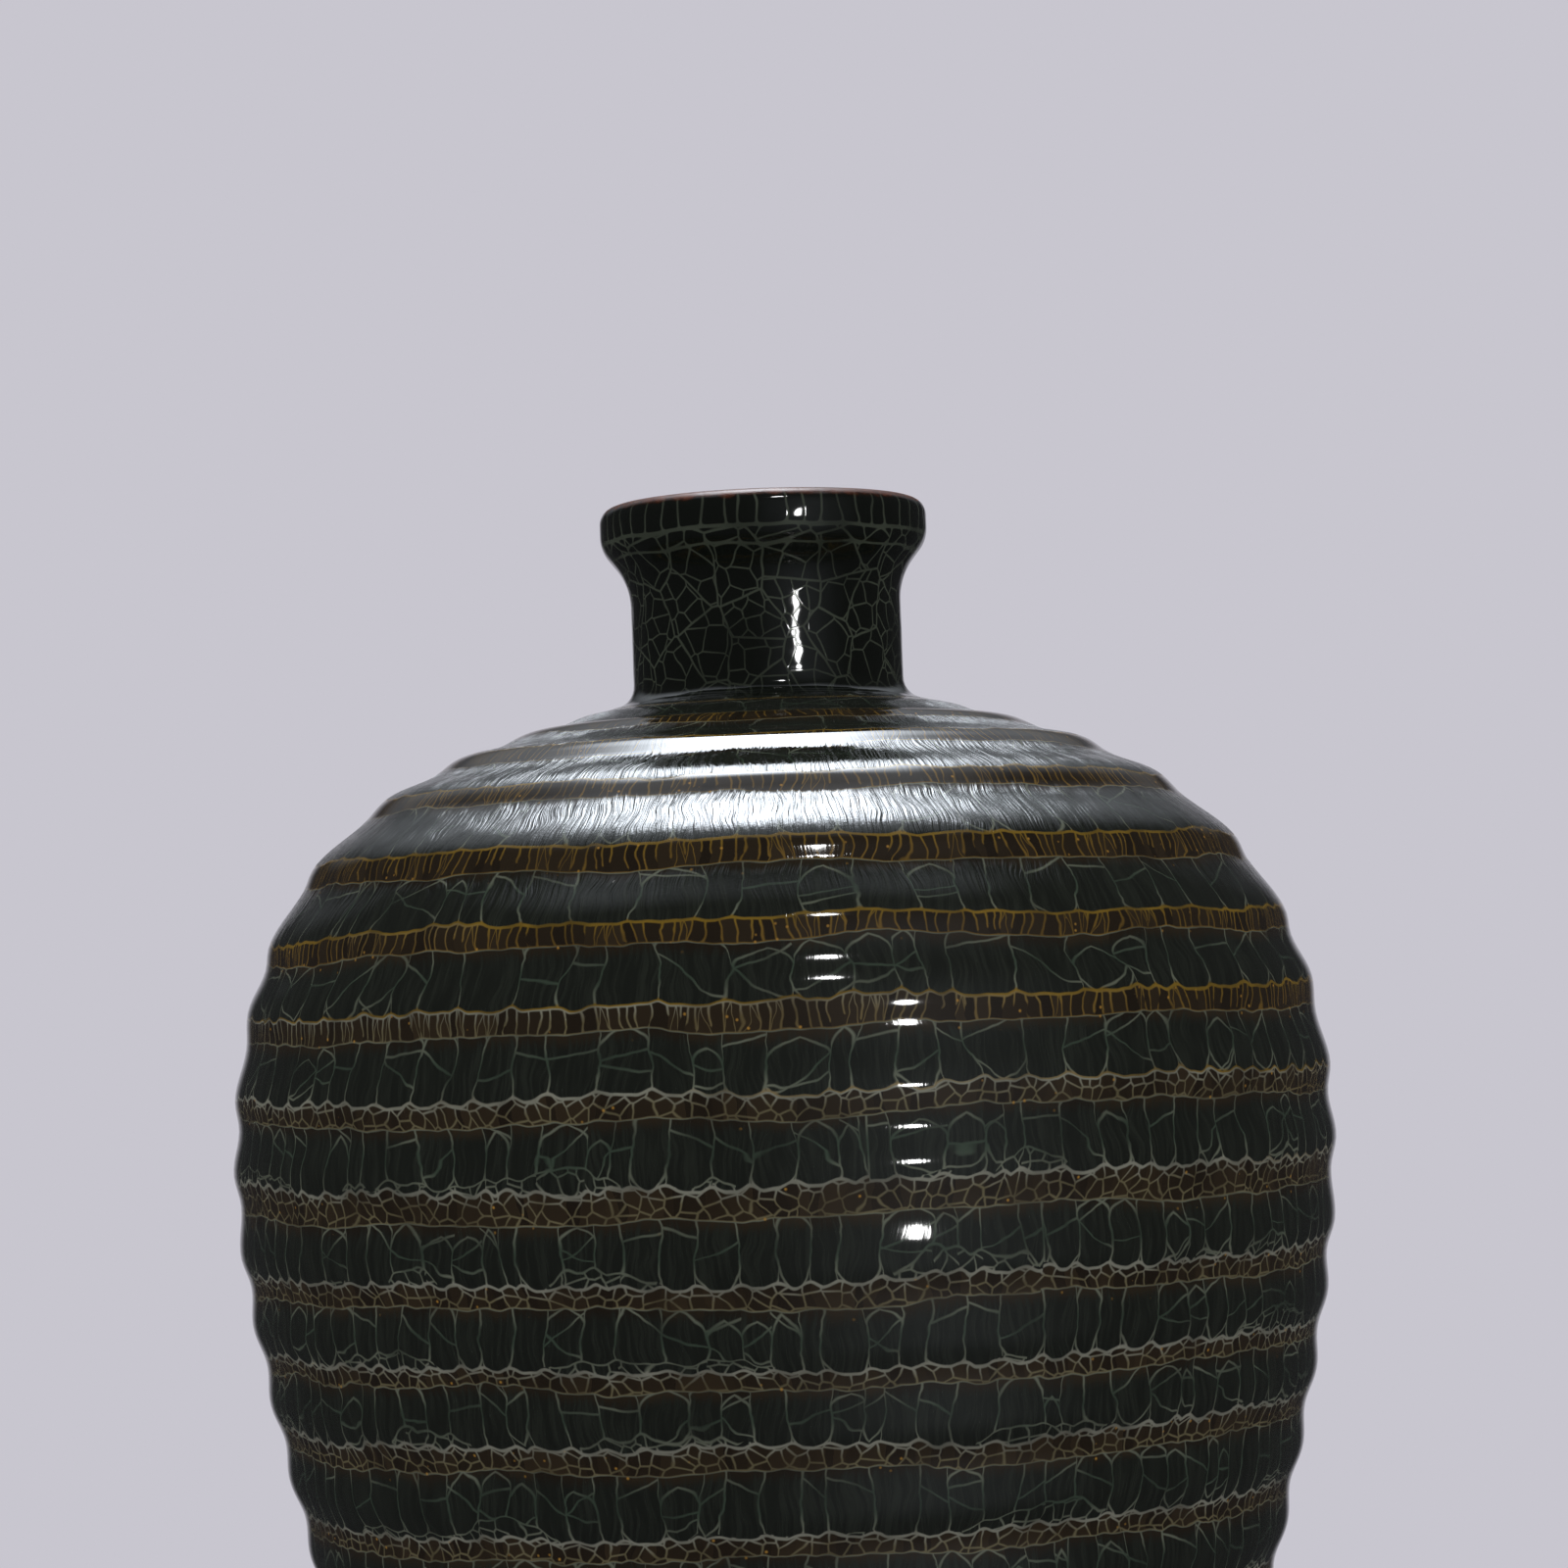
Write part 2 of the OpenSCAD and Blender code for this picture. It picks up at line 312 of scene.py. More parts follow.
# %% [markdown]
# ## Helpers for finishes
#
# Colours are written as they look on a screen, as sRGB hex values, and the renderer wants linear
# light, so one function turns them. One more adds a node: its first values go to the node's first
# sockets, a name in capitals goes to the socket of that name, and other names are settings. A noise
# node's value lies mostly between 0.3 and 0.7, so wherever it decides something, it is spread out from
# about there.

# %% Colour and node helpers
def colour(hex_value):
    """sRGB hex to linear red, green, blue and alpha."""
    channels = [int(hex_value[i:i + 2], 16) / 255 for i in (1, 3, 5)]
    return (*[c / 12.92 if c <= 0.04045 else ((c + 0.055) / 1.055) ** 2.4 for c in channels], 1)


def node_adder(tree):
    """The function that adds nodes to this tree, which it clears first."""
    tree.nodes.clear()

    def add(kind, *values, **settings):
        node = tree.nodes.new("ShaderNode" + kind)
        for key, value in settings.items():
            if key[0].islower():
                setattr(node, key, value)
        sockets = [s for s in node.inputs if s.enabled]
        named = [(node.inputs[key.replace("_", " ")], value)
                 for key, value in settings.items() if key[0].isupper()]
        for socket, value in [*zip(sockets, values), *named]:
            if isinstance(value, bpy.types.Node):
                value = next(s for s in value.outputs if s.enabled)
            if isinstance(value, bpy.types.NodeSocket):
                tree.links.new(value, socket)
            elif value is not None:
                socket.default_value = value
        return node

    return add


def new_finish(name):
    """A new material and the function that adds nodes to it."""
    material = bpy.data.materials.new(name)
    material.use_nodes = True
    return material, node_adder(material.node_tree)


# %% Places on the pot
def place_in_mm(add):
    """Where a point lies, in millimetres from the axis and the table."""
    return add("VectorMath", add("TexCoord").outputs["Object"], (1000, 1000, 1000), operation="MULTIPLY")


def angle_and_height(add, place):
    """The angle round the axis, nought at the front of the pot, and the height in millimetres."""
    xyz = add("SeparateXYZ", place)
    frontward = add("Math", xyz.outputs["Y"], -1.0, operation="MULTIPLY")
    return add("Math", xyz.outputs["X"], frontward, operation="ARCTAN2"), xyz.outputs["Z"]


print("a mid grey of #808080 is", round(colour("#808080")[0], 3), "in linear light")

# %% [markdown]
# ## Crackle glaze: where am I on the pot?
#
# The glaze is a thick, glassy green-black stoneware glaze. It shrank more than the clay as it cooled
# and cracked, and stain was rubbed into the cracks. An image could carry the net, but it would have to
# be painted for this one pot. Here the net is worked out instead, in millimetres on the pot's own
# surface, from three things: the angle round the axis, the distance along the wall, and the band.

# %% Crackle glaze: place, angle and band
glaze, add = new_finish("crackle_glaze")
place = place_in_mm(add)
angle, up_mm = angle_and_height(add, place)
along_mm = add("Attribute", attribute_name="along_mm").outputs["Fac"]
band_gap = add("Attribute", attribute_name="band_gap_mm").outputs["Fac"]
band_row = add("Attribute", attribute_name="band").outputs["Fac"]

# The band's lines wander up and down by a millimetre or so, slowly and with a little tremble
SLOW_SPAN, SLOW_RISE = 34, 5.0             # millimetres from swell to swell, and the noise's whole range
TREMBLE_SPAN, TREMBLE_RISE = 5, 1.1
slow = add("TexNoise", place, Scale=1 / SLOW_SPAN, Detail=1.0)
slow_mm = add("Math", add("Math", slow, -0.5, operation="ADD"), SLOW_RISE, operation="MULTIPLY")
tremble = add("TexNoise", place, Scale=1 / TREMBLE_SPAN, Detail=1.0)
trembling = add("Math", tremble, -0.5, operation="ADD")
wander_mm = add("Math", trembling, TREMBLE_RISE, slow_mm, operation="MULTIPLY_ADD")
wandering = add("Math", wander_mm, band_gap, operation="DIVIDE")
plain_row = add("Math", band_row, wandering, operation="ADD")
print(f"band lines wander over {SLOW_SPAN} mm and tremble over {TREMBLE_SPAN} mm")


# %% [markdown]
# ## Crackle glaze: cells along a strip
#
# Between two band tops lie a brown band, whose rungs stand some 2 mm apart, and a strip of green glaze,
# whose upright cracks stand 6 to 8 mm apart. Each strip counts its own cells from a random angle, so
# that no crack runs on by chance from one strip into the next. To turn an angle into millimetres the
# shader needs the pot's radius, which it reads from a curve over the band's number.

# %% Crackle glaze: cells along a strip
UPPER_CELL, LOWER_CELL, BAND_CELL = 8.4, 5.9, 2.1      # mean widths in millimetres
CURVE_TOP = 110.0      # a curve holds numbers up to 1, so it holds the radius as a share of this
BEND_SPAN, BEND_SHARE, WOBBLE_SPAN = 13, 1.1, 2.6      # how cracks bend, in millimetres and cells
STRIP_SHIFT = 17.3     # cells skipped from strip to strip
bend = add("TexNoise", place, Scale=1 / BEND_SPAN, Detail=1.0)
bend_share = add("Math", add("Math", bend, -0.5, operation="ADD"), BEND_SHARE, operation="MULTIPLY")
wobble = add("TexNoise", place, Scale=1 / WOBBLE_SPAN, Detail=1.0)
wobble_mm = add("Math", wobble, -0.5, operation="ADD")


def girth_of(band_number):
    """The pot's radius at a band, in millimetres."""
    girth = add("FloatCurve", 1.0, add("Math", band_number, 1 / len(girths), operation="MULTIPLY"))
    spots = girth.mapping.curves[0].points
    for i, r in enumerate(girths):
        spot = spots.new(i / len(girths), r / CURVE_TOP)
        spot.handle_type = "VECTOR"
    spots.remove(spots[-1])
    girth.mapping.update()
    return add("Math", girth, CURVE_TOP, operation="MULTIPLY")


def across_strip(strip, band_number, cell_w, sideways=0.0):
    """Place along a strip, from its random start: turn, girth, millimetres round, and in cells."""
    luck = add("TexWhiteNoise", strip, noise_dimensions="1D").outputs["Value"]
    start = add("Math", luck, 2 * math.pi, angle, operation="MULTIPLY_ADD")
    turned = add("Math", start, math.pi, -math.pi, operation="WRAP")
    girth = girth_of(band_number)
    bent = add("Math", bend_share, cell_w, add("Math", turned, girth, operation="MULTIPLY"),
               operation="MULTIPLY_ADD")
    bent = add("Math", add("Math", bent, wobble_mm, operation="ADD"), sideways, operation="ADD")
    cells = add("Math", add("Math", bent, cell_w, operation="DIVIDE"),
                add("Math", strip, STRIP_SHIFT, operation="MULTIPLY"), operation="ADD")
    return turned, girth, bent, cells


print(f"cells {BAND_CELL} mm wide in a brown band, {LOWER_CELL} to {UPPER_CELL} mm in a green strip")

# %% [markdown]
# ## Crackle glaze: hanging lines
#
# A band's top line isn't drawn with a ruler. It hangs between the upright cracks that stand on it, as
# a rope hangs between posts, because each crack pulled the line towards itself as it opened. So the
# cells of the strip above are worked out first, and the band is shifted by how far a point is from the
# nearest post. The upper bands hang by less than half a millimetre, the lower ones by almost one.

# %% Crackle glaze: hanging lines
SECTION_FROM, SECTION_TO = 5.0, 7.0        # band numbers between which upper bands turn into lower ones
HANG_REACH, UPPER_HANG, LOWER_HANG = 2.6, -0.4, -0.85
line = add("Math", add("Math", plain_row, 0.5, operation="ADD"), operation="FLOOR")
over_line = add("Math", line, -1.0, operation="ADD")
post_w = add("MapRange", over_line, SECTION_FROM, SECTION_TO, UPPER_CELL, LOWER_CELL)
posts = across_strip(add("Math", over_line, 2.0, operation="MULTIPLY"), over_line, post_w)[-1]
from_post = add("TexVoronoi", W=posts, Scale=1.0, Randomness=1.0, voronoi_dimensions="1D",
                feature="DISTANCE_TO_EDGE")
from_post = add("Math", from_post, post_w, operation="MULTIPLY")
hang = add("MapRange", from_post, 0.0, HANG_REACH, 0.0, 1.0, interpolation_type="SMOOTHSTEP")
hang_mm = add("MapRange", line, SECTION_FROM, SECTION_TO, UPPER_HANG, LOWER_HANG)

# The shift fades out away from the line, so that the middle of a strip stays where it is
HANG_WHOLE, HANG_GONE = 0.12, 0.42         # shares of the way from this line to the next
off_line = add("Math", add("Math", plain_row, line, operation="SUBTRACT"), operation="ABSOLUTE")
near_line = add("MapRange", off_line, HANG_WHOLE, HANG_GONE, 1.0, 0.0, interpolation_type="SMOOTHSTEP")
hang = add("Math", add("Math", hang, hang_mm, operation="MULTIPLY"), near_line, operation="MULTIPLY")
row = add("Math", add("Math", hang, band_gap, operation="DIVIDE"), plain_row, operation="ADD")
number = add("Math", row, operation="FLOOR")
share = add("Math", row, number, operation="SUBTRACT")
below_top = add("Math", share, band_gap, operation="MULTIPLY")
above_next = add("Math", band_gap, below_top, operation="SUBTRACT")
print(f"band lines hang by {-UPPER_HANG} to {-LOWER_HANG} mm")

# %% Crackle glaze: bands and strips
# A band swells and narrows by up to 0.6 mm over some 26 mm, with the thickness of the glaze
BAND_SPAN, BAND_SWELL = 26, 0.6
thickness = add("TexNoise", place, Scale=1 / BAND_SPAN, Detail=2.0)
thinner = add("MapRange", thickness, 0.3, 0.7, -BAND_SWELL, BAND_SWELL)
band_h = add("Math", add("Attribute", attribute_name="band_h_mm").outputs["Fac"], thinner, operation="ADD")
in_band = add("Math", below_top, band_h, operation="LESS_THAN")
in_green = add("Math", 1.0, in_band, operation="SUBTRACT")
strip = add("Math", number, 2.0, in_band, operation="MULTIPLY_ADD")
green_w = add("MapRange", number, SECTION_FROM, SECTION_TO, UPPER_CELL, LOWER_CELL)
cell_w = add("Mix", in_band, green_w, BAND_CELL)

# The rungs of a band lean one way or the other, a few together
LEAN_SPAN, RUNG_LEAN = 9, 1.6
leaning = add("TexNoise", place, Scale=1 / LEAN_SPAN, Detail=1.0)
lean_by = add("Math", leaning, -0.5, operation="ADD")
rung_lean = add("Math", add("Math", lean_by, in_band, operation="MULTIPLY"), RUNG_LEAN, operation="MULTIPLY")
rung_lean = add("Math", rung_lean, below_top, operation="MULTIPLY")
strip_angle, girth_mm, bent_mm, across = across_strip(strip, number, cell_w, rung_lean)
print(f"rungs lean by up to {RUNG_LEAN / 2} mm for each millimetre down")

# %% [markdown]
# ## Crackle glaze: upright cracks
#
# A crack is drawn wherever the distance to its middle line is small, so each kind of crack is worked
# out as that distance, in millimetres. Upright cracks and rungs are the edges of a one-dimensional cell
# pattern. Where an upright crack nears a band it often forks into two arms that curve away, which
# leaves arches and small triangles. An arm is a parabola: the distance to the crack, less the square of
# how far a point is into the fork. Where the arm slopes, that distance is too great and is divided by
# the slope.

# %% Crackle glaze: edges of the strips and their cells
rung_edge = add("TexVoronoi", W=across, Scale=1.0, Randomness=1.0, voronoi_dimensions="1D",
                feature="DISTANCE_TO_EDGE")
rung_cell = add("TexVoronoi", W=across, Scale=1.0, Randomness=1.0, voronoi_dimensions="1D", feature="F1")
cell_chance = add("SeparateXYZ", rung_cell.outputs["Color"])
from_middle = rung_cell.outputs["Distance"]

# Where a strip's count of cells starts and ends, an upright crack hides the jump
turned = add("Math", strip_angle, operation="ABSOLUTE")
seam_mm = add("Math", add("Math", math.pi, turned, operation="SUBTRACT"), girth_mm, operation="MULTIPLY")
rung_mm = add("Math", add("Math", rung_edge, cell_w, operation="MULTIPLY"), seam_mm, operation="MINIMUM")
top_mm = add("Math", below_top, above_next, operation="MINIMUM")
below_foot = add("Math", below_top, band_h, operation="SUBTRACT")
foot_mm = add("Math", below_foot, operation="ABSOLUTE")
print(f"{len(glaze.node_tree.nodes)} nodes so far give the distance to the nearest rung and band edge")

# %% Crackle glaze: forks
FORK_DOWN, FORK_UP = 5.5, 3.6              # longest forks, in millimetres below and above a band
FORKS_FROM = 0.5       # half of the cracks fork
CURVE_LEAST, CURVE_MOST = 0.12, 0.55       # how fast the arms part
STEEPNESS, MOST_LEAN = 1.6, 2.4            # a parabola's slope is 2; less keeps the arms bold
fork_curve = add("MapRange", cell_chance.outputs["Z"], 0.0, 1.0, CURVE_LEAST, CURVE_MOST)
arm_out, arm_slope = 0.0, 0.0
for from_band, luck, longest, steeper in ((below_foot, cell_chance.outputs["X"], FORK_DOWN, STEEPNESS),
                                          (above_next, cell_chance.outputs["Y"], FORK_UP, -STEEPNESS)):
    reach = add("MapRange", luck, FORKS_FROM, 1.0, 0.0, longest)
    into_fork = add("Math", add("Math", reach, from_band, operation="SUBTRACT"), 0.0, operation="MAXIMUM")
    into_fork = add("Math", into_fork, in_green, operation="MULTIPLY")
    squared = add("Math", into_fork, into_fork, operation="MULTIPLY")
    arm_out = add("Math", squared, fork_curve, arm_out, operation="MULTIPLY_ADD")
    arm_slope = add("Math", add("Math", into_fork, fork_curve, operation="MULTIPLY"), steeper, arm_slope,
                    operation="MULTIPLY_ADD")
arm_lean = add("Math", add("Math", arm_slope, operation="ABSOLUTE"), 1.0, operation="ADD")
upright_mm = add("Math", add("Math", rung_mm, arm_out, operation="SUBTRACT"), operation="ABSOLUTE")
arm_lean = add("Math", arm_lean, MOST_LEAN, operation="MINIMUM")
upright_mm = add("Math", upright_mm, arm_lean, operation="DIVIDE")

# Not every rung reaches the band's foot: some thin out on the way down
RUNG_SHORTEST, RUNG_LONGEST, RUNG_THINNING = 1.2, 7.0, 0.3
rung_reach = add("MapRange", tremble, 0.32, 0.68, RUNG_SHORTEST, RUNG_LONGEST)
past_reach = add("Math", add("Math", below_top, rung_reach, operation="SUBTRACT"), 0.0, operation="MAXIMUM")
past_reach = add("Math", past_reach, in_band, operation="MULTIPLY")
upright_mm = add("Math", past_reach, RUNG_THINNING, upright_mm, operation="MULTIPLY_ADD")
print(f"forks up to {FORK_DOWN} mm long under a band and {FORK_UP} mm over the next")

# %% [markdown]
# ## Crackle glaze: small nets
#
# The first cracks leave large pieces, and where the glaze was still under strain these cracked again.
# The lower brown bands hold a net of small cells in place of rungs, and here and there a fringe of small
# cells stands on a band's top line. In the upper bands the rungs stay clean. A flat cell pattern, in
# millimetres round and along the wall, makes both. A distance too large to draw hides what isn't there.

# %% Crackle glaze: small nets
NEVER = 9.0            # a distance in millimetres at which nothing is drawn
BAND_SMALL_CELL, FRINGE_CELL = 2.6, 3.0
NETS_FROM, NETS_TO = 6.2, 7.0              # band numbers between which the nets begin
FRINGE_SPAN, FRINGE_TALLEST, FRINGE_LEAST = 24, 4.2, 0.8
FRINGED_FROM, FRINGED_FULL = 0.48, 0.7     # noise at which a fringe starts and is tallest
NOISE_SHIFT = (90, 40, 0)                  # keeps fringes from following the other noise
OWN_NET = 40.0         # cells by which the nets of two green pieces are shifted apart
low_bands = add("MapRange", number, NETS_FROM, NETS_TO, 0.0, 1.0)
band_net = add("Math", add("Math", in_band, low_bands, operation="MULTIPLY"), 0.5, operation="GREATER_THAN")
elsewhere = add("VectorMath", place, NOISE_SHIFT, operation="ADD")
fringing = add("TexNoise", elsewhere, Scale=1 / FRINGE_SPAN, Detail=1.0)
fringe_h = add("MapRange", fringing, FRINGED_FROM, FRINGED_FULL, 0.0, FRINGE_TALLEST)
fringe_h = add("Math", fringe_h, low_bands, operation="MULTIPLY")
in_fringe = add("Math", above_next, fringe_h, operation="LESS_THAN")
small_w = add("Math", in_fringe, FRINGE_CELL - BAND_SMALL_CELL, BAND_SMALL_CELL, operation="MULTIPLY_ADD")
own_net = add("Math", add("Math", 1.0, band_net, operation="SUBTRACT"), OWN_NET, operation="MULTIPLY")
small_x = add("Math", cell_chance.outputs["X"], own_net,
              add("Math", bent_mm, small_w, operation="DIVIDE"), operation="MULTIPLY_ADD")
small_y = add("Math", cell_chance.outputs["Y"], own_net,
              add("Math", along_mm, small_w, operation="DIVIDE"), operation="MULTIPLY_ADD")
small_edge = add("TexVoronoi", add("CombineXYZ", small_x, small_y), Scale=1.0, Randomness=0.85,
                 voronoi_dimensions="2D", feature="DISTANCE_TO_EDGE")
netted = add("Math", band_net, in_fringe, operation="MAXIMUM")
whole = add("Math", 1.0, netted, operation="SUBTRACT")
small_mm = add("Math", small_edge, small_w, operation="MULTIPLY")
small_mm = add("Math", whole, NEVER, small_mm, operation="MULTIPLY_ADD")

fringe_mm = add("Math", add("Math", above_next, fringe_h, operation="SUBTRACT"), operation="ABSOLUTE")
no_fringe = add("Math", fringe_h, FRINGE_LEAST, operation="LESS_THAN")
fringe_mm = add("Math", no_fringe, NEVER, fringe_mm, operation="MULTIPLY_ADD")
print(f"small cells {BAND_SMALL_CELL} mm in a band, {FRINGE_CELL} mm in a fringe")

# %% [markdown]
# ## Crackle glaze: slanting cracks
#
# Two more kinds run at a slant. In an upper band, one rung in four has a partner that leans against it.
# In a green strip, one or two bridges cross some of the pieces from upright to upright, at a random
# height and slope. Each is a straight line in the piece's own millimetres. The height over such a line
# is more than the distance to it, so it is multiplied by a little less than one.

# %% Crackle glaze: slanting partners in the upper bands
PARTNERS_FROM, SLANT_SQUARE = 0.75, 0.5
slant = add("Math", add("Math", from_middle, 2.0, operation="MULTIPLY"), band_h, operation="MULTIPLY")
slant_mm = add("Math", add("Math", below_top, slant, operation="SUBTRACT"), operation="ABSOLUTE")
slant_mm = add("Math", slant_mm, SLANT_SQUARE, operation="MULTIPLY")
no_slant = add("Math", cell_chance.outputs["Y"], PARTNERS_FROM, operation="LESS_THAN")
no_slant = add("Math", no_slant, add("Math", in_green, band_net, operation="MAXIMUM"), operation="MAXIMUM")
slant_mm = add("Math", no_slant, NEVER, slant_mm, operation="MULTIPLY_ADD")
print(f"{1 - PARTNERS_FROM:.0%} of the rungs have a partner")

# %% Crackle glaze: bridges across the green pieces
BRIDGE_TOP, BRIDGE_DROP = 1.5, 7.0         # millimetres down to the highest bridge, and on to the lowest
BRIDGE_CLIMB, BRIDGE_SQUARE = 0.75, 0.88   # steepest slope, and what makes the distance true
CLOSEST = 0.2          # two bridges nearer than this share of the drop would run together
off_middle = add("Math", add("Math", across, rung_cell.outputs["W"], operation="SUBTRACT"), cell_w,
                 operation="MULTIPLY")
too_close = add("Math", cell_chance.outputs["X"], cell_chance.outputs["Y"], CLOSEST, operation="COMPARE")
not_here = in_band

# Of the green pieces 58 in 100 have a first bridge and 38 a second, if the two don't run together
for crosses, level, lean, least in (("Z", "X", "Y", 0.42), ("X", "Y", "Z", 0.62)):
    level_mm = add("Math", cell_chance.outputs[level], -BRIDGE_DROP, below_foot, operation="MULTIPLY_ADD")
    level_mm = add("Math", level_mm, -BRIDGE_TOP, operation="ADD")
    climb = add("MapRange", cell_chance.outputs[lean], 0.0, 1.0, -BRIDGE_CLIMB, BRIDGE_CLIMB)
    bridge = add("Math", add("Math", off_middle, climb, level_mm, operation="MULTIPLY_ADD"),
                 operation="ABSOLUTE")
    bridge = add("Math", bridge, BRIDGE_SQUARE, operation="MULTIPLY")
    missing = add("Math", cell_chance.outputs[crosses], least, operation="LESS_THAN")
    missing = add("Math", missing, not_here, operation="MAXIMUM")
    bridge = add("Math", missing, NEVER, bridge, operation="MULTIPLY_ADD")
    upright_mm = add("Math", upright_mm, bridge, operation="MINIMUM")
    not_here = add("Math", in_band, too_close, operation="MAXIMUM")
upright_mm = add("Math", netted, NEVER, upright_mm, operation="MULTIPLY_ADD")
print(f"bridges {BRIDGE_TOP} to {BRIDGE_TOP + BRIDGE_DROP} mm below a band")

# %% [markdown]
# ## Crackle glaze: one net
#
# The cracks are hairlines a quarter of a millimetre wide, and those on the band tops are twice that.
# Each kind's own half width comes off its distance first. A smooth minimum then joins them, and fills
# the corners a little, as the stain does where two cracks meet. The stain didn't take everywhere.

# %% Crackle glaze: one net
TOP_HALF, FOOT_HALF, UPRIGHT_HALF = 0.24, 0.14, 0.14
SMALL_HALF, FRINGE_HALF, SLANT_HALF = 0.13, 0.15, 0.13
WEB = 0.3              # millimetres over which two cracks run together
SOLID, CLEAR = -0.12, 0.15                 # millimetres past a crack's edge at which it is full and gone
STAIN_SPAN, STAIN_LEAST = 8, 0.45
net = add("Math", top_mm, TOP_HALF, operation="SUBTRACT")
for distance, half_width in ((foot_mm, FOOT_HALF), (upright_mm, UPRIGHT_HALF), (small_mm, SMALL_HALF),
                             (fringe_mm, FRINGE_HALF), (slant_mm, SLANT_HALF)):
    from_crack = add("Math", distance, half_width, operation="SUBTRACT")
    net = add("Math", net, from_crack, WEB, operation="SMOOTH_MIN")
crack = add("MapRange", net, SOLID, CLEAR, 1.0, 0.0, interpolation_type="SMOOTHSTEP")
staining = add("TexNoise", place, Scale=1 / STAIN_SPAN, Detail=2.0)
stain = add("MapRange", staining, 0.32, 0.6, STAIN_LEAST, 1.0)
crack = add("Math", crack, stain, operation="MULTIPLY")
print(f"cracks {2 * UPRIGHT_HALF:.2f} mm wide, band tops {2 * TOP_HALF:.2f} mm")

# %% [markdown]
# ## Crackle glaze: colours
#
# The glaze is nearly black with a green cast where it is thick, and iron brown where it ran thin. The
# stain in the cracks is gold on the upper bands, grey-olive on the lower ones, and sinks to a dim teal
# in the middle of the green strips, where it lies deep under the glass. One palette could serve the
# whole pot, but the shift from gold to grey is what tells the shoulder from the belly.

# %% Crackle glaze: colour of the glass
GREEN_DEEP, GREEN_RUN_AND_SHEEN, BROWN_DEEP, BROWN_THIN = "#1D201A", "#282C24", "#231D14", "#362D1E"
STREAK_WIDE, STREAK_LONG, STREAK_R = 0.72, 12.0, 90.0  # streaks in millimetres, at the shoulder's radius
STREAK_LEAN, BROWN_FADE = 0.05, 3.0
streak_scale = STREAK_R / STREAK_WIDE

# The molten glaze ran down in fine streaks. Their lighter colour is partly the run glaze and partly a
# painted sheen, the fine glint along each streak. Their noise is read on a tube of radius 1, so that it
# closes round the pot with no seam.
streak_angle = add("Math", lean_by, STREAK_LEAN, angle, operation="MULTIPLY_ADD")
streak_along = add("Math", along_mm, 1 / (STREAK_LONG * streak_scale), operation="MULTIPLY")
cylinder = add("CombineXYZ", add("Math", streak_angle, operation="SINE"),
               add("Math", streak_angle, operation="COSINE"), streak_along)
streaks = add("TexNoise", cylinder, Scale=streak_scale, Detail=2.0, Roughness=0.65)
streak = add("MapRange", streaks, 0.42, 0.68, 0.0, 1.0)
# The lighter streaks mix real glaze runs with a painted sheen
green = add("Mix", streak, None, None, data_type="RGBA", A=colour(GREEN_DEEP), B=colour(GREEN_RUN_AND_SHEEN))
band_fill = add("Mix", cell_chance.outputs["Y"], None, None, data_type="RGBA", A=colour(BROWN_DEEP),
                B=colour(BROWN_THIN))
brown = add("MapRange", add("Math", below_foot, streak, operation="ADD"), 0.0, BROWN_FADE, 1.0, 0.0,
            interpolation_type="SMOOTHSTEP")
body_colour = add("Mix", brown, None, None, data_type="RGBA", A=green, B=band_fill)
print(f"streaks {STREAK_WIDE} mm wide and {STREAK_LONG:.0f} mm long, brown fades over {BROWN_FADE:.0f} mm")

# %% Crackle glaze: colour of the cracks
GOLD, PALE, OLIVE, RUNG_BROWN = "#836A24", "#8C8E7A", "#716B4C", "#785F28"
GREY_GREEN, TEAL = "#6E7460", "#3E4B3C"

# Gold gives way to grey some six bands down, and lower on the right than on the left
GOLD_TO, GREY_FROM, LOWER_ON_RIGHT, UNEVEN_CHANGE = 6.2, 7.3, 0.8, 1.6     # in bands
side = add("Math", angle, operation="SINE")
lowness = add("Math", side, -LOWER_ON_RIGHT, number, operation="MULTIPLY_ADD")
lowness = add("Math", slow, UNEVEN_CHANGE, lowness, operation="MULTIPLY_ADD")
gold = add("MapRange", lowness, GOLD_TO, GREY_FROM, 1.0, 0.0, interpolation_type="SMOOTHSTEP")
edge_colour = add("Mix", gold, None, None, data_type="RGBA", A=colour(PALE), B=colour(GOLD))
rung_colour = add("Mix", gold, None, None, data_type="RGBA", A=colour(OLIVE), B=colour(RUNG_BROWN))

# In a green strip the stain sinks from grey-green at the edges to teal in the middle
SINKS_FROM, SINKS_TO = 0.8, 4.5
EDGE_FULL, EDGE_IN_GREEN, EDGE_IN_BAND = 0.3, 0.7, 2.3   # reach of a band top's colour, in millimetres
from_edge = add("Math", foot_mm, above_next, operation="MINIMUM")
deep = add("MapRange", from_edge, SINKS_FROM, SINKS_TO, 0.0, 1.0, interpolation_type="SMOOTHSTEP")
green_crack = add("Mix", deep, None, None, data_type="RGBA", A=colour(GREY_GREEN), B=colour(TEAL))
strip_crack = add("Mix", in_band, None, None, data_type="RGBA", A=green_crack, B=rung_colour)
edge_reach = add("Math", in_band, EDGE_IN_BAND - EDGE_IN_GREEN, EDGE_IN_GREEN, operation="MULTIPLY_ADD")
near_top = add("MapRange", top_mm, EDGE_FULL, edge_reach, 1.0, 0.0)
crack_colour = add("Mix", near_top, None, None, data_type="RGBA", A=strip_crack, B=edge_colour)
glaze_colour = add("Mix", crack, None, None, data_type="RGBA", A=body_colour, B=crack_colour)
print(f"stain: gold down to band {GOLD_TO:.0f}, grey from band {GREY_FROM:.0f}")

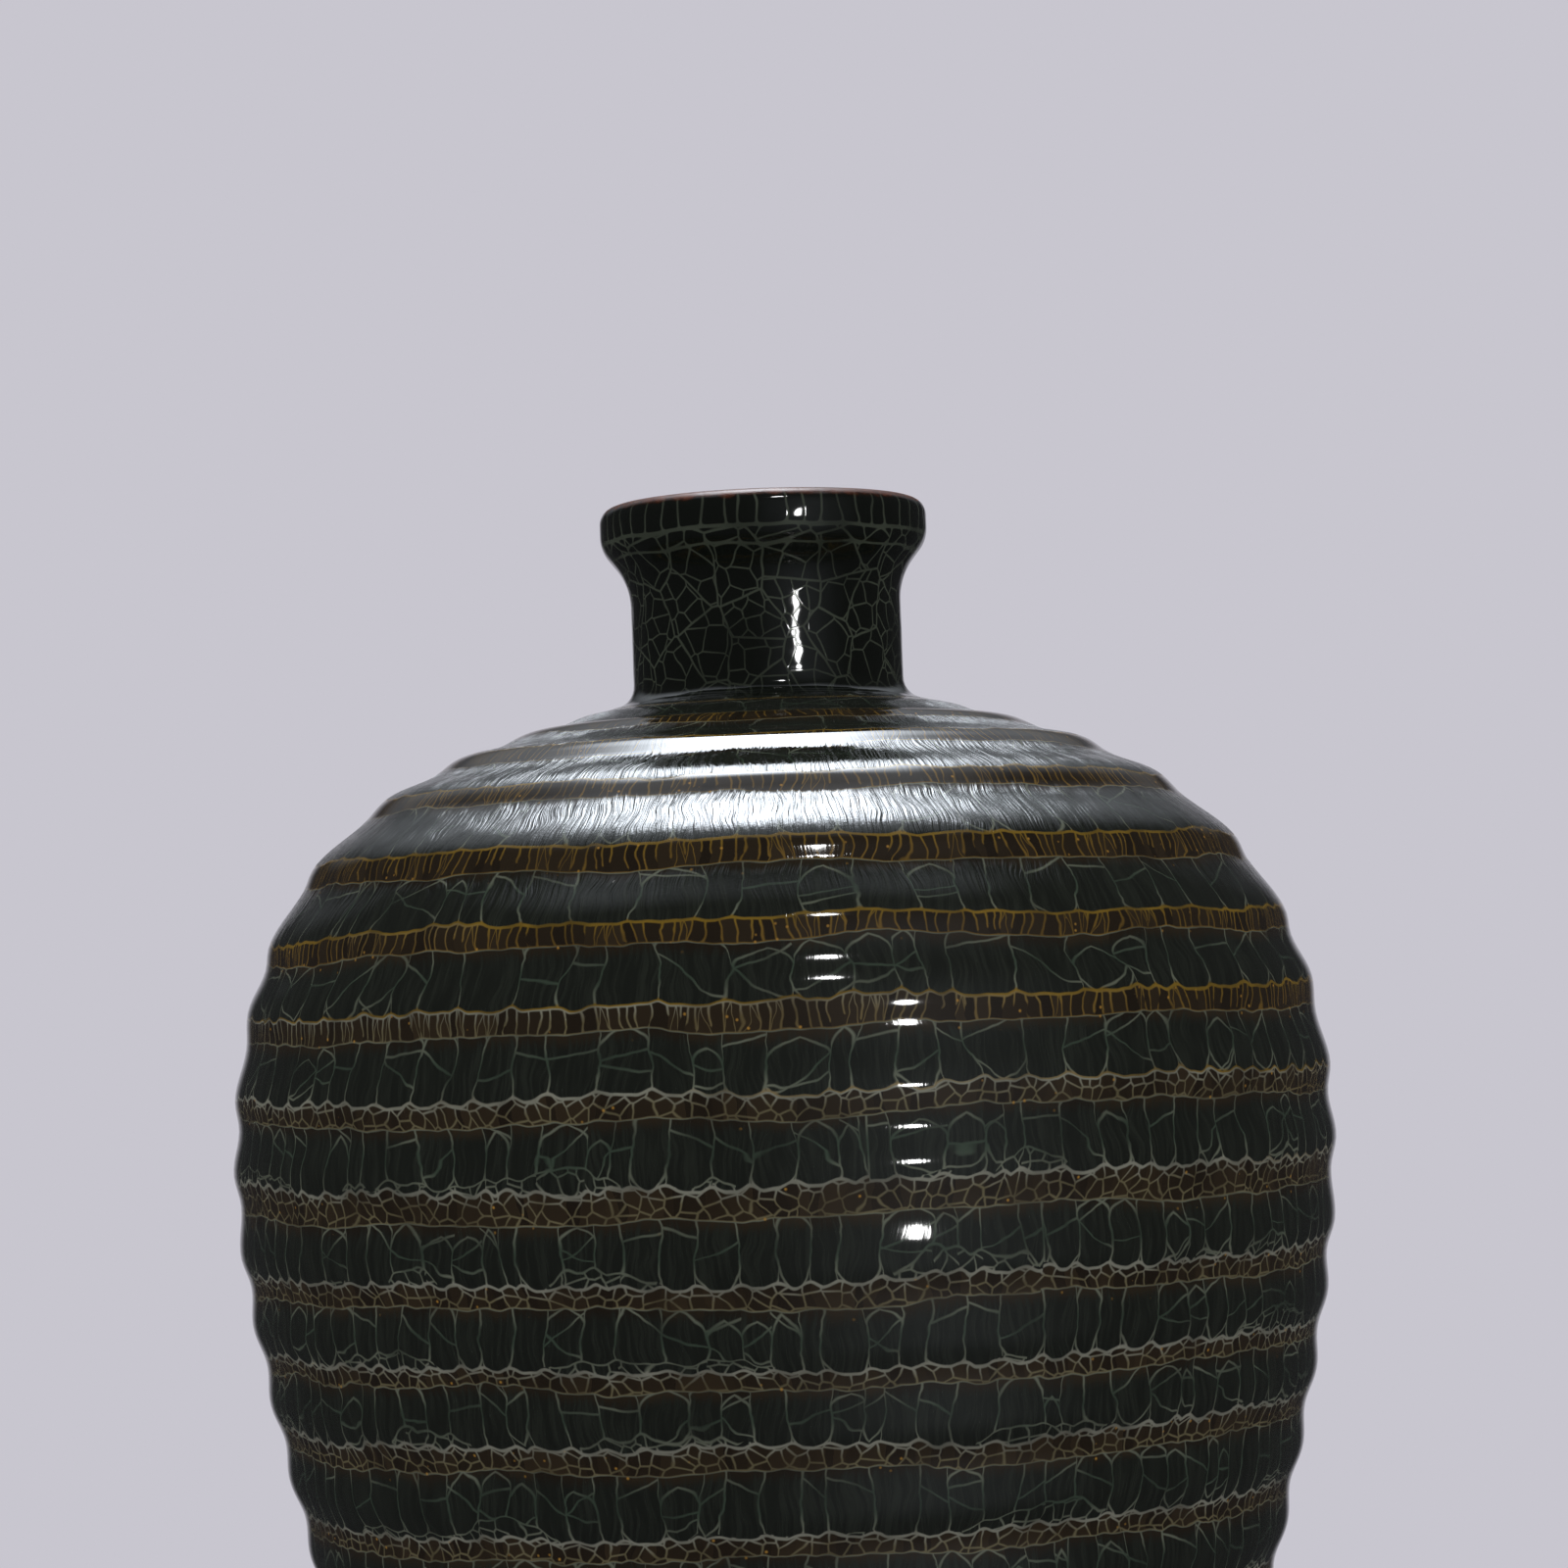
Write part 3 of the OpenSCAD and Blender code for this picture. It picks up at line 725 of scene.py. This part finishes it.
# %% Crackle glaze: iron flecks and the wiped foot
# Here and there on the brown bands a fleck of iron crystallised to gold, half a millimetre wide. Just
# above the foot the glaze was wiped thin and fired to bare iron brown.
FLECK_CELL, FLECKS_FROM, IRON_FLECK, FOOT_RUST = 1.7, 0.86, "#B98C3A", "#4A2C1B"
FLECK_INNER, FLECK_OUTER, FLECK_STRENGTH = 0.05, 0.2, 0.9    # radii as shares of a cell, and strength
fleck_at = add("TexVoronoi", place, Scale=1 / FLECK_CELL, feature="F1")
fleck_luck = add("SeparateXYZ", fleck_at.outputs["Color"])
fleck = add("MapRange", fleck_at.outputs["Distance"], FLECK_INNER, FLECK_OUTER, FLECK_STRENGTH, 0.0)
rare = add("Math", fleck_luck.outputs["X"], FLECKS_FROM, operation="GREATER_THAN")
fleck = add("Math", add("Math", fleck, rare, operation="MULTIPLY"), brown, operation="MULTIPLY")
glaze_colour = add("Mix", fleck, None, None, data_type="RGBA", A=glaze_colour, B=colour(IRON_FLECK))

WIPED_TO, GLAZED_FROM = 3.0, 6.5           # millimetres above the table
WIPED_RAGGED = 2.0     # the range in millimetres over which that edge wavers
wiped = add("Math", trembling, WIPED_RAGGED, up_mm, operation="MULTIPLY_ADD")
wiped = add("MapRange", wiped, WIPED_TO, GLAZED_FROM, 1.0, 0.0, interpolation_type="SMOOTHSTEP")
glaze_colour = add("Mix", wiped, None, None, data_type="RGBA", A=glaze_colour, B=colour(FOOT_RUST))
print(f"a fleck in {1 - FLECKS_FROM:.0%} of cells of {FLECK_CELL} mm")

# %% [markdown]
# ## Crackle glaze: surface
#
# A stoneware glaze is a glass, with an IOR of about 1.55 and a clear gloss. On the shoulder, where it
# began to run, it shows fine upright streaks like fur, which break a lamp's reflection into hairs. They
# are far too fine for the mesh, so they are a bump of a quarter of a millimetre, drawn a little coarser
# than real so that they show. On the brown bands and below the shoulder the glass lies smooth.

# %% Crackle glaze: surface
FUR_HEIGHT = 0.26 * MM
FUR_FROM, FUR_TO, FUR_BELOW, FUR_ON_BROWN = 60.0, 84.0, 0.05, 0.06
GRAINS_PER_MM, GRAIN_SHARE = 2.0, 0.06
GLASS_IOR, GLAZE_ROUGHNESS, FUR_ROUGHNESS = 1.55, 0.055, 0.12
fur = add("MapRange", along_mm, FUR_FROM, FUR_TO, 1.0, FUR_BELOW, interpolation_type="SMOOTHSTEP")
fur = add("Math", fur, add("MapRange", brown, 0.0, 1.0, 1.0, FUR_ON_BROWN), operation="MULTIPLY")
grain = add("TexNoise", place, Scale=GRAINS_PER_MM, Detail=1.0)
fur_height = add("Math", add("Math", grain, GRAIN_SHARE, streaks, operation="MULTIPLY_ADD"), fur,
                 operation="MULTIPLY")
ripple = add("Bump", Strength=1.0, Distance=FUR_HEIGHT, Height=fur_height)
dull = add("MapRange", streaks, 0.58, 0.4, 0.0, FUR_ROUGHNESS)
roughness = add("Math", dull, fur, GLAZE_ROUGHNESS, operation="MULTIPLY_ADD")
shader = add("BsdfPrincipled", Base_Color=glaze_colour, Roughness=roughness, IOR=GLASS_IOR, Normal=ripple)
add("OutputMaterial", shader)
mesh.materials.append(glaze)
print(f"crackle glaze: {len(glaze.node_tree.nodes)} nodes")

# %% [markdown]
# ## Neck glaze
#
# On the neck and the lip the same glaze lies even, without bands. The net has two ages: a few long
# cracks came first, and each piece between them cracked again into cells 3 to 5 mm wide. The body's
# strips would look wrong here, so the neck has a glaze of its own, made of two flat cell patterns, one
# inside the other.

# %% Neck glaze: two ages of cracks
LONG_CELL, LONG_TALL, NECK_CELL, LIP_CELL = 8.5, 1.1, 3.6, 3.2
SMALLER, LARGER, OWN_NECK_NET = 0.8, 1.5, 30.0
NECK_BEND_SPAN, NECK_BEND = 6, 2.5
NET_R = NECK_R + 1.5   # radius at which the net is measured, between the neck's and the lip's
neck_glaze, add = new_finish("neck_glaze")
place = place_in_mm(add)
angle, up_mm = angle_and_height(add, place)
bend = add("TexNoise", place, Scale=1 / NECK_BEND_SPAN, Detail=1.0)
bend_mm = add("Math", add("Math", bend, -0.5, operation="ADD"), NECK_BEND, operation="MULTIPLY")
round_mm = add("Math", angle, NET_R, bend_mm, operation="MULTIPLY_ADD")
long_place = add("CombineXYZ", add("Math", round_mm, LONG_CELL, operation="DIVIDE"),
                 add("Math", up_mm, LONG_CELL * LONG_TALL, operation="DIVIDE"))
long_edge = add("TexVoronoi", long_place, Scale=1.0, Randomness=0.95, voronoi_dimensions="2D",
                feature="DISTANCE_TO_EDGE")
long_cell = add("TexVoronoi", long_place, Scale=1.0, Randomness=0.95, voronoi_dimensions="2D", feature="F1")
long_mm = add("Math", long_edge, LONG_CELL, operation="MULTIPLY")
long_chance = add("SeparateXYZ", long_cell.outputs["Color"])
short_w = add("MapRange", long_chance.outputs["Z"], 0.0, 1.0, NECK_CELL * SMALLER, NECK_CELL * LARGER)
short_x = add("Math", long_chance.outputs["X"], OWN_NECK_NET,
              add("Math", round_mm, short_w, operation="DIVIDE"), operation="MULTIPLY_ADD")
short_y = add("Math", long_chance.outputs["Y"], OWN_NECK_NET,
              add("Math", up_mm, short_w, operation="DIVIDE"), operation="MULTIPLY_ADD")
short_edge = add("TexVoronoi", add("CombineXYZ", short_x, short_y), Scale=1.0, Randomness=0.8,
                 voronoi_dimensions="2D", feature="DISTANCE_TO_EDGE")
short_mm = add("Math", short_edge, short_w, operation="MULTIPLY")
print(f"neck cells {NECK_CELL * SMALLER:.1f} to {NECK_CELL * LARGER:.1f} mm in pieces of {LONG_CELL} mm")

# %% [markdown]
# ## Neck glaze: the lip's strips
#
# The face of the lip has upright cracks only, 3 mm apart. They stand on a line that runs round under
# the lip, and a second, fainter line runs 3 mm below it. Close to the shoulder the cracks are dimmed by
# painted shade in the crease at the neck's foot.

# %% Neck glaze: the lip's strips
LIP_LINE, COLLAR_LINE, LINE_SPAN, LINE_WANDER = 318.2, 315.2, 12, 2.0
NECK_HALF, LIP_LINE_HALF, COLLAR_HALF, LINE_WEB = 0.17, 0.3, 0.18, 0.8
LIP_SHIFT = 5.0        # where the count of the lip's cells starts
SECOND_FINER = 0.04    # millimetres off the half width of the younger cracks
NECK_SOLID, NECK_CLEAR, NECK_STAIN_SPAN = -0.1, 0.12, 10
NECK_STAIN_LEAST, NECK_STAIN_MOST, CRACKS_IN_SHADE = 0.35, 0.9, 0.15
# Heights in millimetres over which the painted shade at the neck's foot lifts; the share of the cracks left
# in that shade ends the line above
SHADE_DEEPEST_TO, SHADE_ENDS_FROM = 288.0, 294.0
wander = add("TexNoise", place, Scale=1 / LINE_SPAN, Detail=1.0)
wander_mm = add("Math", add("Math", wander, -0.5, operation="ADD"), LINE_WANDER, up_mm,
                operation="MULTIPLY_ADD")
in_lip = add("Math", wander_mm, LIP_LINE, operation="GREATER_THAN")
on_neck = add("Math", 1.0, in_lip, operation="SUBTRACT")
lip_across = add("Math", add("Math", round_mm, LIP_CELL, operation="DIVIDE"), LIP_SHIFT, operation="ADD")
lip_edge = add("TexVoronoi", W=lip_across, Scale=1.0, Randomness=0.8, voronoi_dimensions="1D",
               feature="DISTANCE_TO_EDGE")
lip_mm = add("Math", on_neck, NEVER, add("Math", lip_edge, LIP_CELL, operation="MULTIPLY"),
             operation="MULTIPLY_ADD")
cells_mm = add("Math", long_mm, add("Math", short_mm, SECOND_FINER, operation="ADD"), operation="MINIMUM")
cells_mm = add("Math", in_lip, NEVER, cells_mm, operation="MULTIPLY_ADD")
net = add("Math", add("Math", cells_mm, lip_mm, operation="MINIMUM"), NECK_HALF, operation="SUBTRACT")
for line_z, half_width in ((LIP_LINE, LIP_LINE_HALF), (COLLAR_LINE, COLLAR_HALF)):
    line_mm = add("Math", add("Math", wander_mm, line_z, operation="SUBTRACT"), operation="ABSOLUTE")
    line_mm = add("Math", line_mm, half_width, operation="SUBTRACT")
    net = add("Math", net, line_mm, LINE_WEB, operation="SMOOTH_MIN")
crack = add("MapRange", net, NECK_SOLID, NECK_CLEAR, 1.0, 0.0, interpolation_type="SMOOTHSTEP")
staining = add("TexNoise", place, Scale=1 / NECK_STAIN_SPAN, Detail=1.0)
stain = add("MapRange", staining, 0.3, 0.6, NECK_STAIN_LEAST, NECK_STAIN_MOST)
crack = add("Math", crack, stain, operation="MULTIPLY")
# Painted shade in the crease at the neck's foot: the cracks there are dimmed to a seventh, and brighten to
# full over six millimetres
lit_above_neck_foot = add("MapRange", up_mm, SHADE_DEEPEST_TO, SHADE_ENDS_FROM, CRACKS_IN_SHADE, 1.0)
crack = add("Math", crack, lit_above_neck_foot, operation="MULTIPLY")
print(f"lip strips {LIP_CELL} mm wide above {LIP_LINE} mm")

# %% [markdown]
# ## Neck glaze: colour and surface
#
# The glaze is darkest here, because it lies thickest. It ran off the outer edge of the lip and left
# rust and iron brown, drier than the glass. The glass itself isn't flat: it swells between the cracks
# by less than a tenth of a millimetre, which is enough to break a lamp's tall reflection.

# %% Neck glaze: colour and surface
NECK_DEEP, NECK_CRACK, RIM_RUST, RIM_BROWN = "#131611", "#4A5142", "#6E3312", "#331B0E"
RIM_TALL, RIM_FROM_R, RIM_TO_R, RIM_ROUGHNESS, RIM_SPECULAR = 0.9, 27.6, 29.4, 0.35, 0.2
RIM_RAGGED, RIM_RAGGED_R, MOTTLE_SPAN = 1.6, 3.0, 3
NECK_SWELL, SWELL_SPAN, CRACK_DIP, NECK_ROUGHNESS = 0.16 * MM, 5, -0.08, 0.06
mottle = add("TexNoise", place, Scale=1 / MOTTLE_SPAN, Detail=3.0)
rim_line = add("Math", add("Math", mottle, RIM_RAGGED, operation="MULTIPLY"), up_mm, operation="ADD")
rim = add("MapRange", rim_line, height - RIM_TALL, height + 0.1, 0.0, 1.0, interpolation_type="SMOOTHSTEP")
from_axis = add("VectorMath", add("VectorMath", place, (1, 1, 0), operation="MULTIPLY"), operation="LENGTH")
edge_line = add("Math", mottle, RIM_RAGGED_R, from_axis.outputs["Value"], operation="MULTIPLY_ADD")
outer = add("MapRange", edge_line, RIM_FROM_R, RIM_TO_R, 0.0, 1.0, interpolation_type="SMOOTHSTEP")
rim = add("Math", rim, outer, operation="MULTIPLY")
rim_colour = add("Mix", mottle, None, None, data_type="RGBA", A=colour(RIM_BROWN), B=colour(RIM_RUST))
neck_colour = add("Mix", crack, None, None, data_type="RGBA", A=colour(NECK_DEEP), B=colour(NECK_CRACK))
neck_colour = add("Mix", rim, None, None, data_type="RGBA", A=neck_colour, B=rim_colour)

swell = add("TexNoise", place, Scale=1 / SWELL_SPAN, Detail=1.0)
swell = add("Math", crack, CRACK_DIP, swell, operation="MULTIPLY_ADD")
uneven_glaze = add("Bump", Strength=1.0, Distance=NECK_SWELL, Height=swell)
rim_roughness = add("MapRange", rim, 0.0, 1.0, NECK_ROUGHNESS, RIM_ROUGHNESS)
rim_specular = add("MapRange", rim, 0.0, 1.0, 0.5, RIM_SPECULAR)
shader = add("BsdfPrincipled", Base_Color=neck_colour, Roughness=rim_roughness,
             Specular_IOR_Level=rim_specular, IOR=GLASS_IOR, Normal=uneven_glaze)
add("OutputMaterial", shader)
mesh.materials.append(neck_glaze)
print(f"neck glaze: {len(neck_glaze.node_tree.nodes)} nodes")

# %% [markdown]
# ## Foot clay
#
# The ring that the vase stands on is bare. It is iron-bearing stoneware, fired grey-brown with dark
# specks, dry to the touch and marked with fine rings by the turning tool. A plain brown would pass at a
# distance, but the tool's rings are what tell a turned foot from a moulded one, so they are worked out
# from the distance to the axis. Real grit is a tenth of a millimetre, and is drawn coarser here to show.

# %% Foot clay
CLAY_DARK, CLAY_PALE, CLAY_SPECK = "#4A372A", "#745C48", "#231A15"
TOOL_LINES, GRAINS = 1.6, 1.4              # to the millimetre
CLOUD_SPAN, SPECK_CELL = 12, 1.25          # millimetres
CLAY_ROUGHNESS, CLAY_IOR, TOOLED_HEIGHT = 0.85, 1.5, 0.25 * MM
clay, add = new_finish("foot_clay")
place = place_in_mm(add)
from_axis = add("VectorMath", add("VectorMath", place, (1, 1, 0), operation="MULTIPLY"), operation="LENGTH")
tool_lines = add("TexNoise", W=from_axis.outputs["Value"], Scale=TOOL_LINES, Detail=2.0,
                 noise_dimensions="1D")
grain = add("TexNoise", place, Scale=GRAINS, Detail=4.0, Roughness=0.7)
cloud = add("TexNoise", place, Scale=1 / CLOUD_SPAN, Detail=2.0)
shade = add("Math", add("Math", grain, tool_lines, operation="MULTIPLY"), cloud, operation="ADD")
shade = add("MapRange", shade, 0.5, 1.0, 0.0, 1.0)
clay_colour = add("Mix", shade, None, None, data_type="RGBA", A=colour(CLAY_DARK), B=colour(CLAY_PALE))
specks = add("TexVoronoi", place, Scale=1 / SPECK_CELL, feature="F1")
speck = add("MapRange", specks.outputs["Distance"], 0.12, 0.2, 1.0, 0.0)
clay_colour = add("Mix", speck, None, None, data_type="RGBA", A=clay_colour, B=colour(CLAY_SPECK))
rough = add("Math", grain, 0.5, tool_lines, operation="MULTIPLY_ADD")
tooled = add("Bump", Strength=0.6, Distance=TOOLED_HEIGHT, Height=rough)
shader = add("BsdfPrincipled", Base_Color=clay_colour, Roughness=CLAY_ROUGHNESS, IOR=CLAY_IOR,
             Normal=tooled)
add("OutputMaterial", shader)
mesh.materials.append(clay)
print(f"foot clay: tool lines {1 / TOOL_LINES:.1f} mm apart, specks {SPECK_CELL} mm apart")

# %% [markdown]
# ## Inner glaze
#
# Inside, the same glaze was poured in and out again. It pooled thick and dark, with a loose net of
# unstained cracks and soft runs, and little light reaches it. The outside's net would be wasted here,
# so a single pattern in space does.

# %% Inner glaze
POURED_DARK, POURED_THIN, INNER_CRACK = "#121612", "#26251B", "#3A4034"
INNER_CELL, RUN_SPAN, RUN_STRETCH, INNER_ROUGHNESS = 6.0, 5, 0.12, 0.12
inner_glaze, add = new_finish("inner_glaze")
place = place_in_mm(add)
run_place = add("VectorMath", place, (1, 1, RUN_STRETCH), operation="MULTIPLY")
runs = add("TexNoise", run_place, Scale=1 / RUN_SPAN, Detail=3.0)
poured = add("MapRange", runs, 0.35, 0.7, 0.0, 1.0)
poured_colour = add("Mix", poured, None, None, data_type="RGBA", A=colour(POURED_DARK),
                    B=colour(POURED_THIN))
inner_net = add("TexVoronoi", place, Scale=1 / INNER_CELL, feature="DISTANCE_TO_EDGE")
inner_crack = add("MapRange", inner_net, 0.0, 0.05, 0.6, 0.0, interpolation_type="SMOOTHSTEP")
poured_colour = add("Mix", inner_crack, None, None, data_type="RGBA", A=poured_colour,
                    B=colour(INNER_CRACK))
shader = add("BsdfPrincipled", Base_Color=poured_colour, Roughness=INNER_ROUGHNESS, IOR=GLASS_IOR)
add("OutputMaterial", shader)
mesh.materials.append(inner_glaze)
print(f"inner glaze: cracks {INNER_CELL:.0f} mm apart; the skin has {len(mesh.materials)} finishes")

# %% [markdown]
# ## Floor
#
# The vase stands on a plain pale floor, a disc a fifth of a millimetre below the foot so that the two
# don't fight for the same place. It keeps out of reflections, because a pale floor mirrored in the gloss
# would hide the colour of the lower body.

# %% Floor
FLOOR_SPREAD, FLOOR_SINK, FLOOR_PAINT = 0.95, 0.2 * MM, "#C6C4CE"
bpy.ops.mesh.primitive_circle_add(vertices=96, radius=FLOOR_SPREAD, fill_type="NGON",
                                  location=(0, 0, -FLOOR_SINK))
floor = bpy.context.object
floor.name = "studio_floor"
floor.visible_glossy = False
floor_paint, add = new_finish("floor_paint")
shader = add("BsdfPrincipled", Base_Color=colour(FLOOR_PAINT), Roughness=0.9)
add("OutputMaterial", shader)
floor.data.materials.append(floor_paint)
print(f"floor {2 * FLOOR_SPREAD} m across")

# %% [markdown]
# ## World
#
# The background is pale grey-lilac, and the front of the room is dark, so that a glossy dark pot shows
# its own colour. The world alone lights the colours, at a level that shows them as written. In the
# gloss it also holds soft ceiling panels: a bright narrow one, over and behind the pot, whitens the
# shoulder, a dim wide one softens its edge, and a faint one fills the right. Area lamps would do the
# same, but their edges are hard, and a soft edge here costs four nodes. A panel is given by the angle
# over the pot, from 0 at the camera's side to 180 behind, and by the angle to the right.

# %% World: directions
BACKDROP, DARK_ROOM, PANEL_WHITE, ROOM_LIGHT = "#C8C6CF", "#2E2E31", "#EEF6FF", 1.15
world = bpy.data.worlds.new("studio")
bpy.context.scene.world = world
world.use_nodes = True
add = node_adder(world.node_tree)
toward = add("SeparateXYZ", add("TexCoord").outputs["Generated"])
frontward = add("Math", toward.outputs["Y"], -1.0, operation="MULTIPLY")
over_rad = add("Math", toward.outputs["Z"], frontward, operation="ARCTAN2")
over_deg = add("Math", over_rad, operation="DEGREES")
right_deg = add("Math", add("Math", toward.outputs["X"], operation="ARCSINE"), operation="DEGREES")


def ceiling_panel(over, across, softness, radiance):
    """Light of a panel between four angles over the pot and two to the side, all in degrees."""
    starts, full, fades, ends = over
    left, right = across
    rise = add("MapRange", over_deg, starts, full, 0.0, radiance, interpolation_type="SMOOTHSTEP")
    fall = add("MapRange", over_deg, fades, ends, 1.0, 0.0)
    from_left = add("MapRange", right_deg, left - softness, left + softness, 0.0, 1.0,
                    interpolation_type="SMOOTHSTEP")
    from_right = add("MapRange", right_deg, right - softness, right + softness, 1.0, 0.0,
                     interpolation_type="SMOOTHSTEP")
    return add("Math", add("Math", rise, fall, operation="MULTIPLY"),
               add("Math", from_left, from_right, operation="MULTIPLY"), operation="MULTIPLY")


bright = ceiling_panel(over=(94, 107, 112, 136), across=(-12, 9), softness=12, radiance=26.0)
wide = ceiling_panel(over=(68, 96, 122, 165), across=(-30, 26), softness=9, radiance=1.0)
faint = ceiling_panel(over=(-70, -20, 20, 75), across=(10, 50), softness=25, radiance=0.2)
glow = add("Math", add("Math", bright, wide, operation="ADD"), faint, operation="ADD")
print("three soft panels in the gloss")

# %% World: what the camera, the gloss and the colours see
BEHIND_FROM, BEHIND_TO = 0.92, 1.0         # share of straight behind at which the backdrop is mirrored
panels = add("Background", colour(PANEL_WHITE), glow)
behind = add("MapRange", toward.outputs["Y"], BEHIND_FROM, BEHIND_TO, 0.0, 1.0,
             interpolation_type="SMOOTHSTEP")
backdrop = add("Background", colour(BACKDROP), 1.0)
reflected = add("MixShader", behind, add("Background", colour(DARK_ROOM), 1.0), backdrop)
reflected = add("AddShader", reflected, panels)
room = add("Background", colour(BACKDROP), ROOM_LIGHT)
path = add("LightPath")
by_gloss = add("MixShader", path.outputs["Is Glossy Ray"], room, reflected)
by_camera = add("MixShader", path.outputs["Is Camera Ray"], by_gloss, backdrop)
add("OutputWorld", by_camera)
print(f"world: {len(world.node_tree.nodes)} nodes")

# %% [markdown]
# ## Lamps
#
# Two small round lamps right of the camera leave the bright flecks on the ring crests: a high one for
# the neck and the upper rings, and one near the camera's height for the belly. They show in reflections
# only, so they don't change the level of the colours.

# %% Lamps
SHOULDER_MIDDLE = Vector((0, 0, 0.22))
LAMP_DISTANCE, LAMP_RADIANCE = 2.2, 40.0


def soft_box(name, azimuth, elevation, distance, width, tall, radiance):
    """A flat lamp that faces the vase. Azimuth 0 is the camera's side and grows to its right."""
    lamp = bpy.data.lights.new(name, "AREA")
    lamp.shape = "ELLIPSE"
    lamp.size, lamp.size_y = width, tall
    lamp.energy = radiance * math.pi * width * tall * math.pi / 4
    a, e = math.radians(azimuth), math.radians(elevation)
    way = Vector((math.sin(a) * math.cos(e), -math.cos(a) * math.cos(e), math.sin(e)))
    holder = bpy.data.objects.new(name, lamp)
    holder.location = SHOULDER_MIDDLE + distance * way
    holder.rotation_euler = way.to_track_quat("Z", "Y").to_euler()
    holder.visible_diffuse = False
    bpy.context.scene.collection.objects.link(holder)
    print(f"{name}: {lamp.energy:.1f} W at {tuple(round(c, 2) for c in holder.location)}")


soft_box("right_window", 25.2, 7.2, LAMP_DISTANCE, 0.19, 0.2, LAMP_RADIANCE)
soft_box("high_window", 12.8, 49.3, LAMP_DISTANCE, 0.18, 0.15, LAMP_RADIANCE)

# %% [markdown]
# ## Camera
#
# The camera stands 0.8 m in front, a little above the belly, and looks up by less than three degrees.
# Its view is about 20 degrees wide, so the ring lines curve only a little, and it is rolled by two
# degrees, because the real rings run up to the right.

# %% Camera
CAMERA_PLACE, CAMERA_TILT, CAMERA_ROLL = (0.0008, -0.8, 0.236), 92.69, 2.06
SENSOR_MM, LENS_MM = 36.0, 100.4
camera_data = bpy.data.cameras.new("camera")
camera_data.sensor_width = SENSOR_MM
camera_data.lens = LENS_MM
camera = bpy.data.objects.new("camera", camera_data)
camera.location = CAMERA_PLACE
camera.rotation_euler = (math.radians(CAMERA_TILT), math.radians(CAMERA_ROLL), 0)
bpy.context.scene.collection.objects.link(camera)
bpy.context.scene.camera = camera
bpy.context.scene.view_settings.view_transform = "Standard"
print(f"camera view {math.degrees(camera_data.angle):.1f} degrees wide")

# %% [markdown]
# ## Update
#
# The view layer is brought up to date, so that every object stands where it was placed.

# %% Update
bpy.context.view_layer.update()
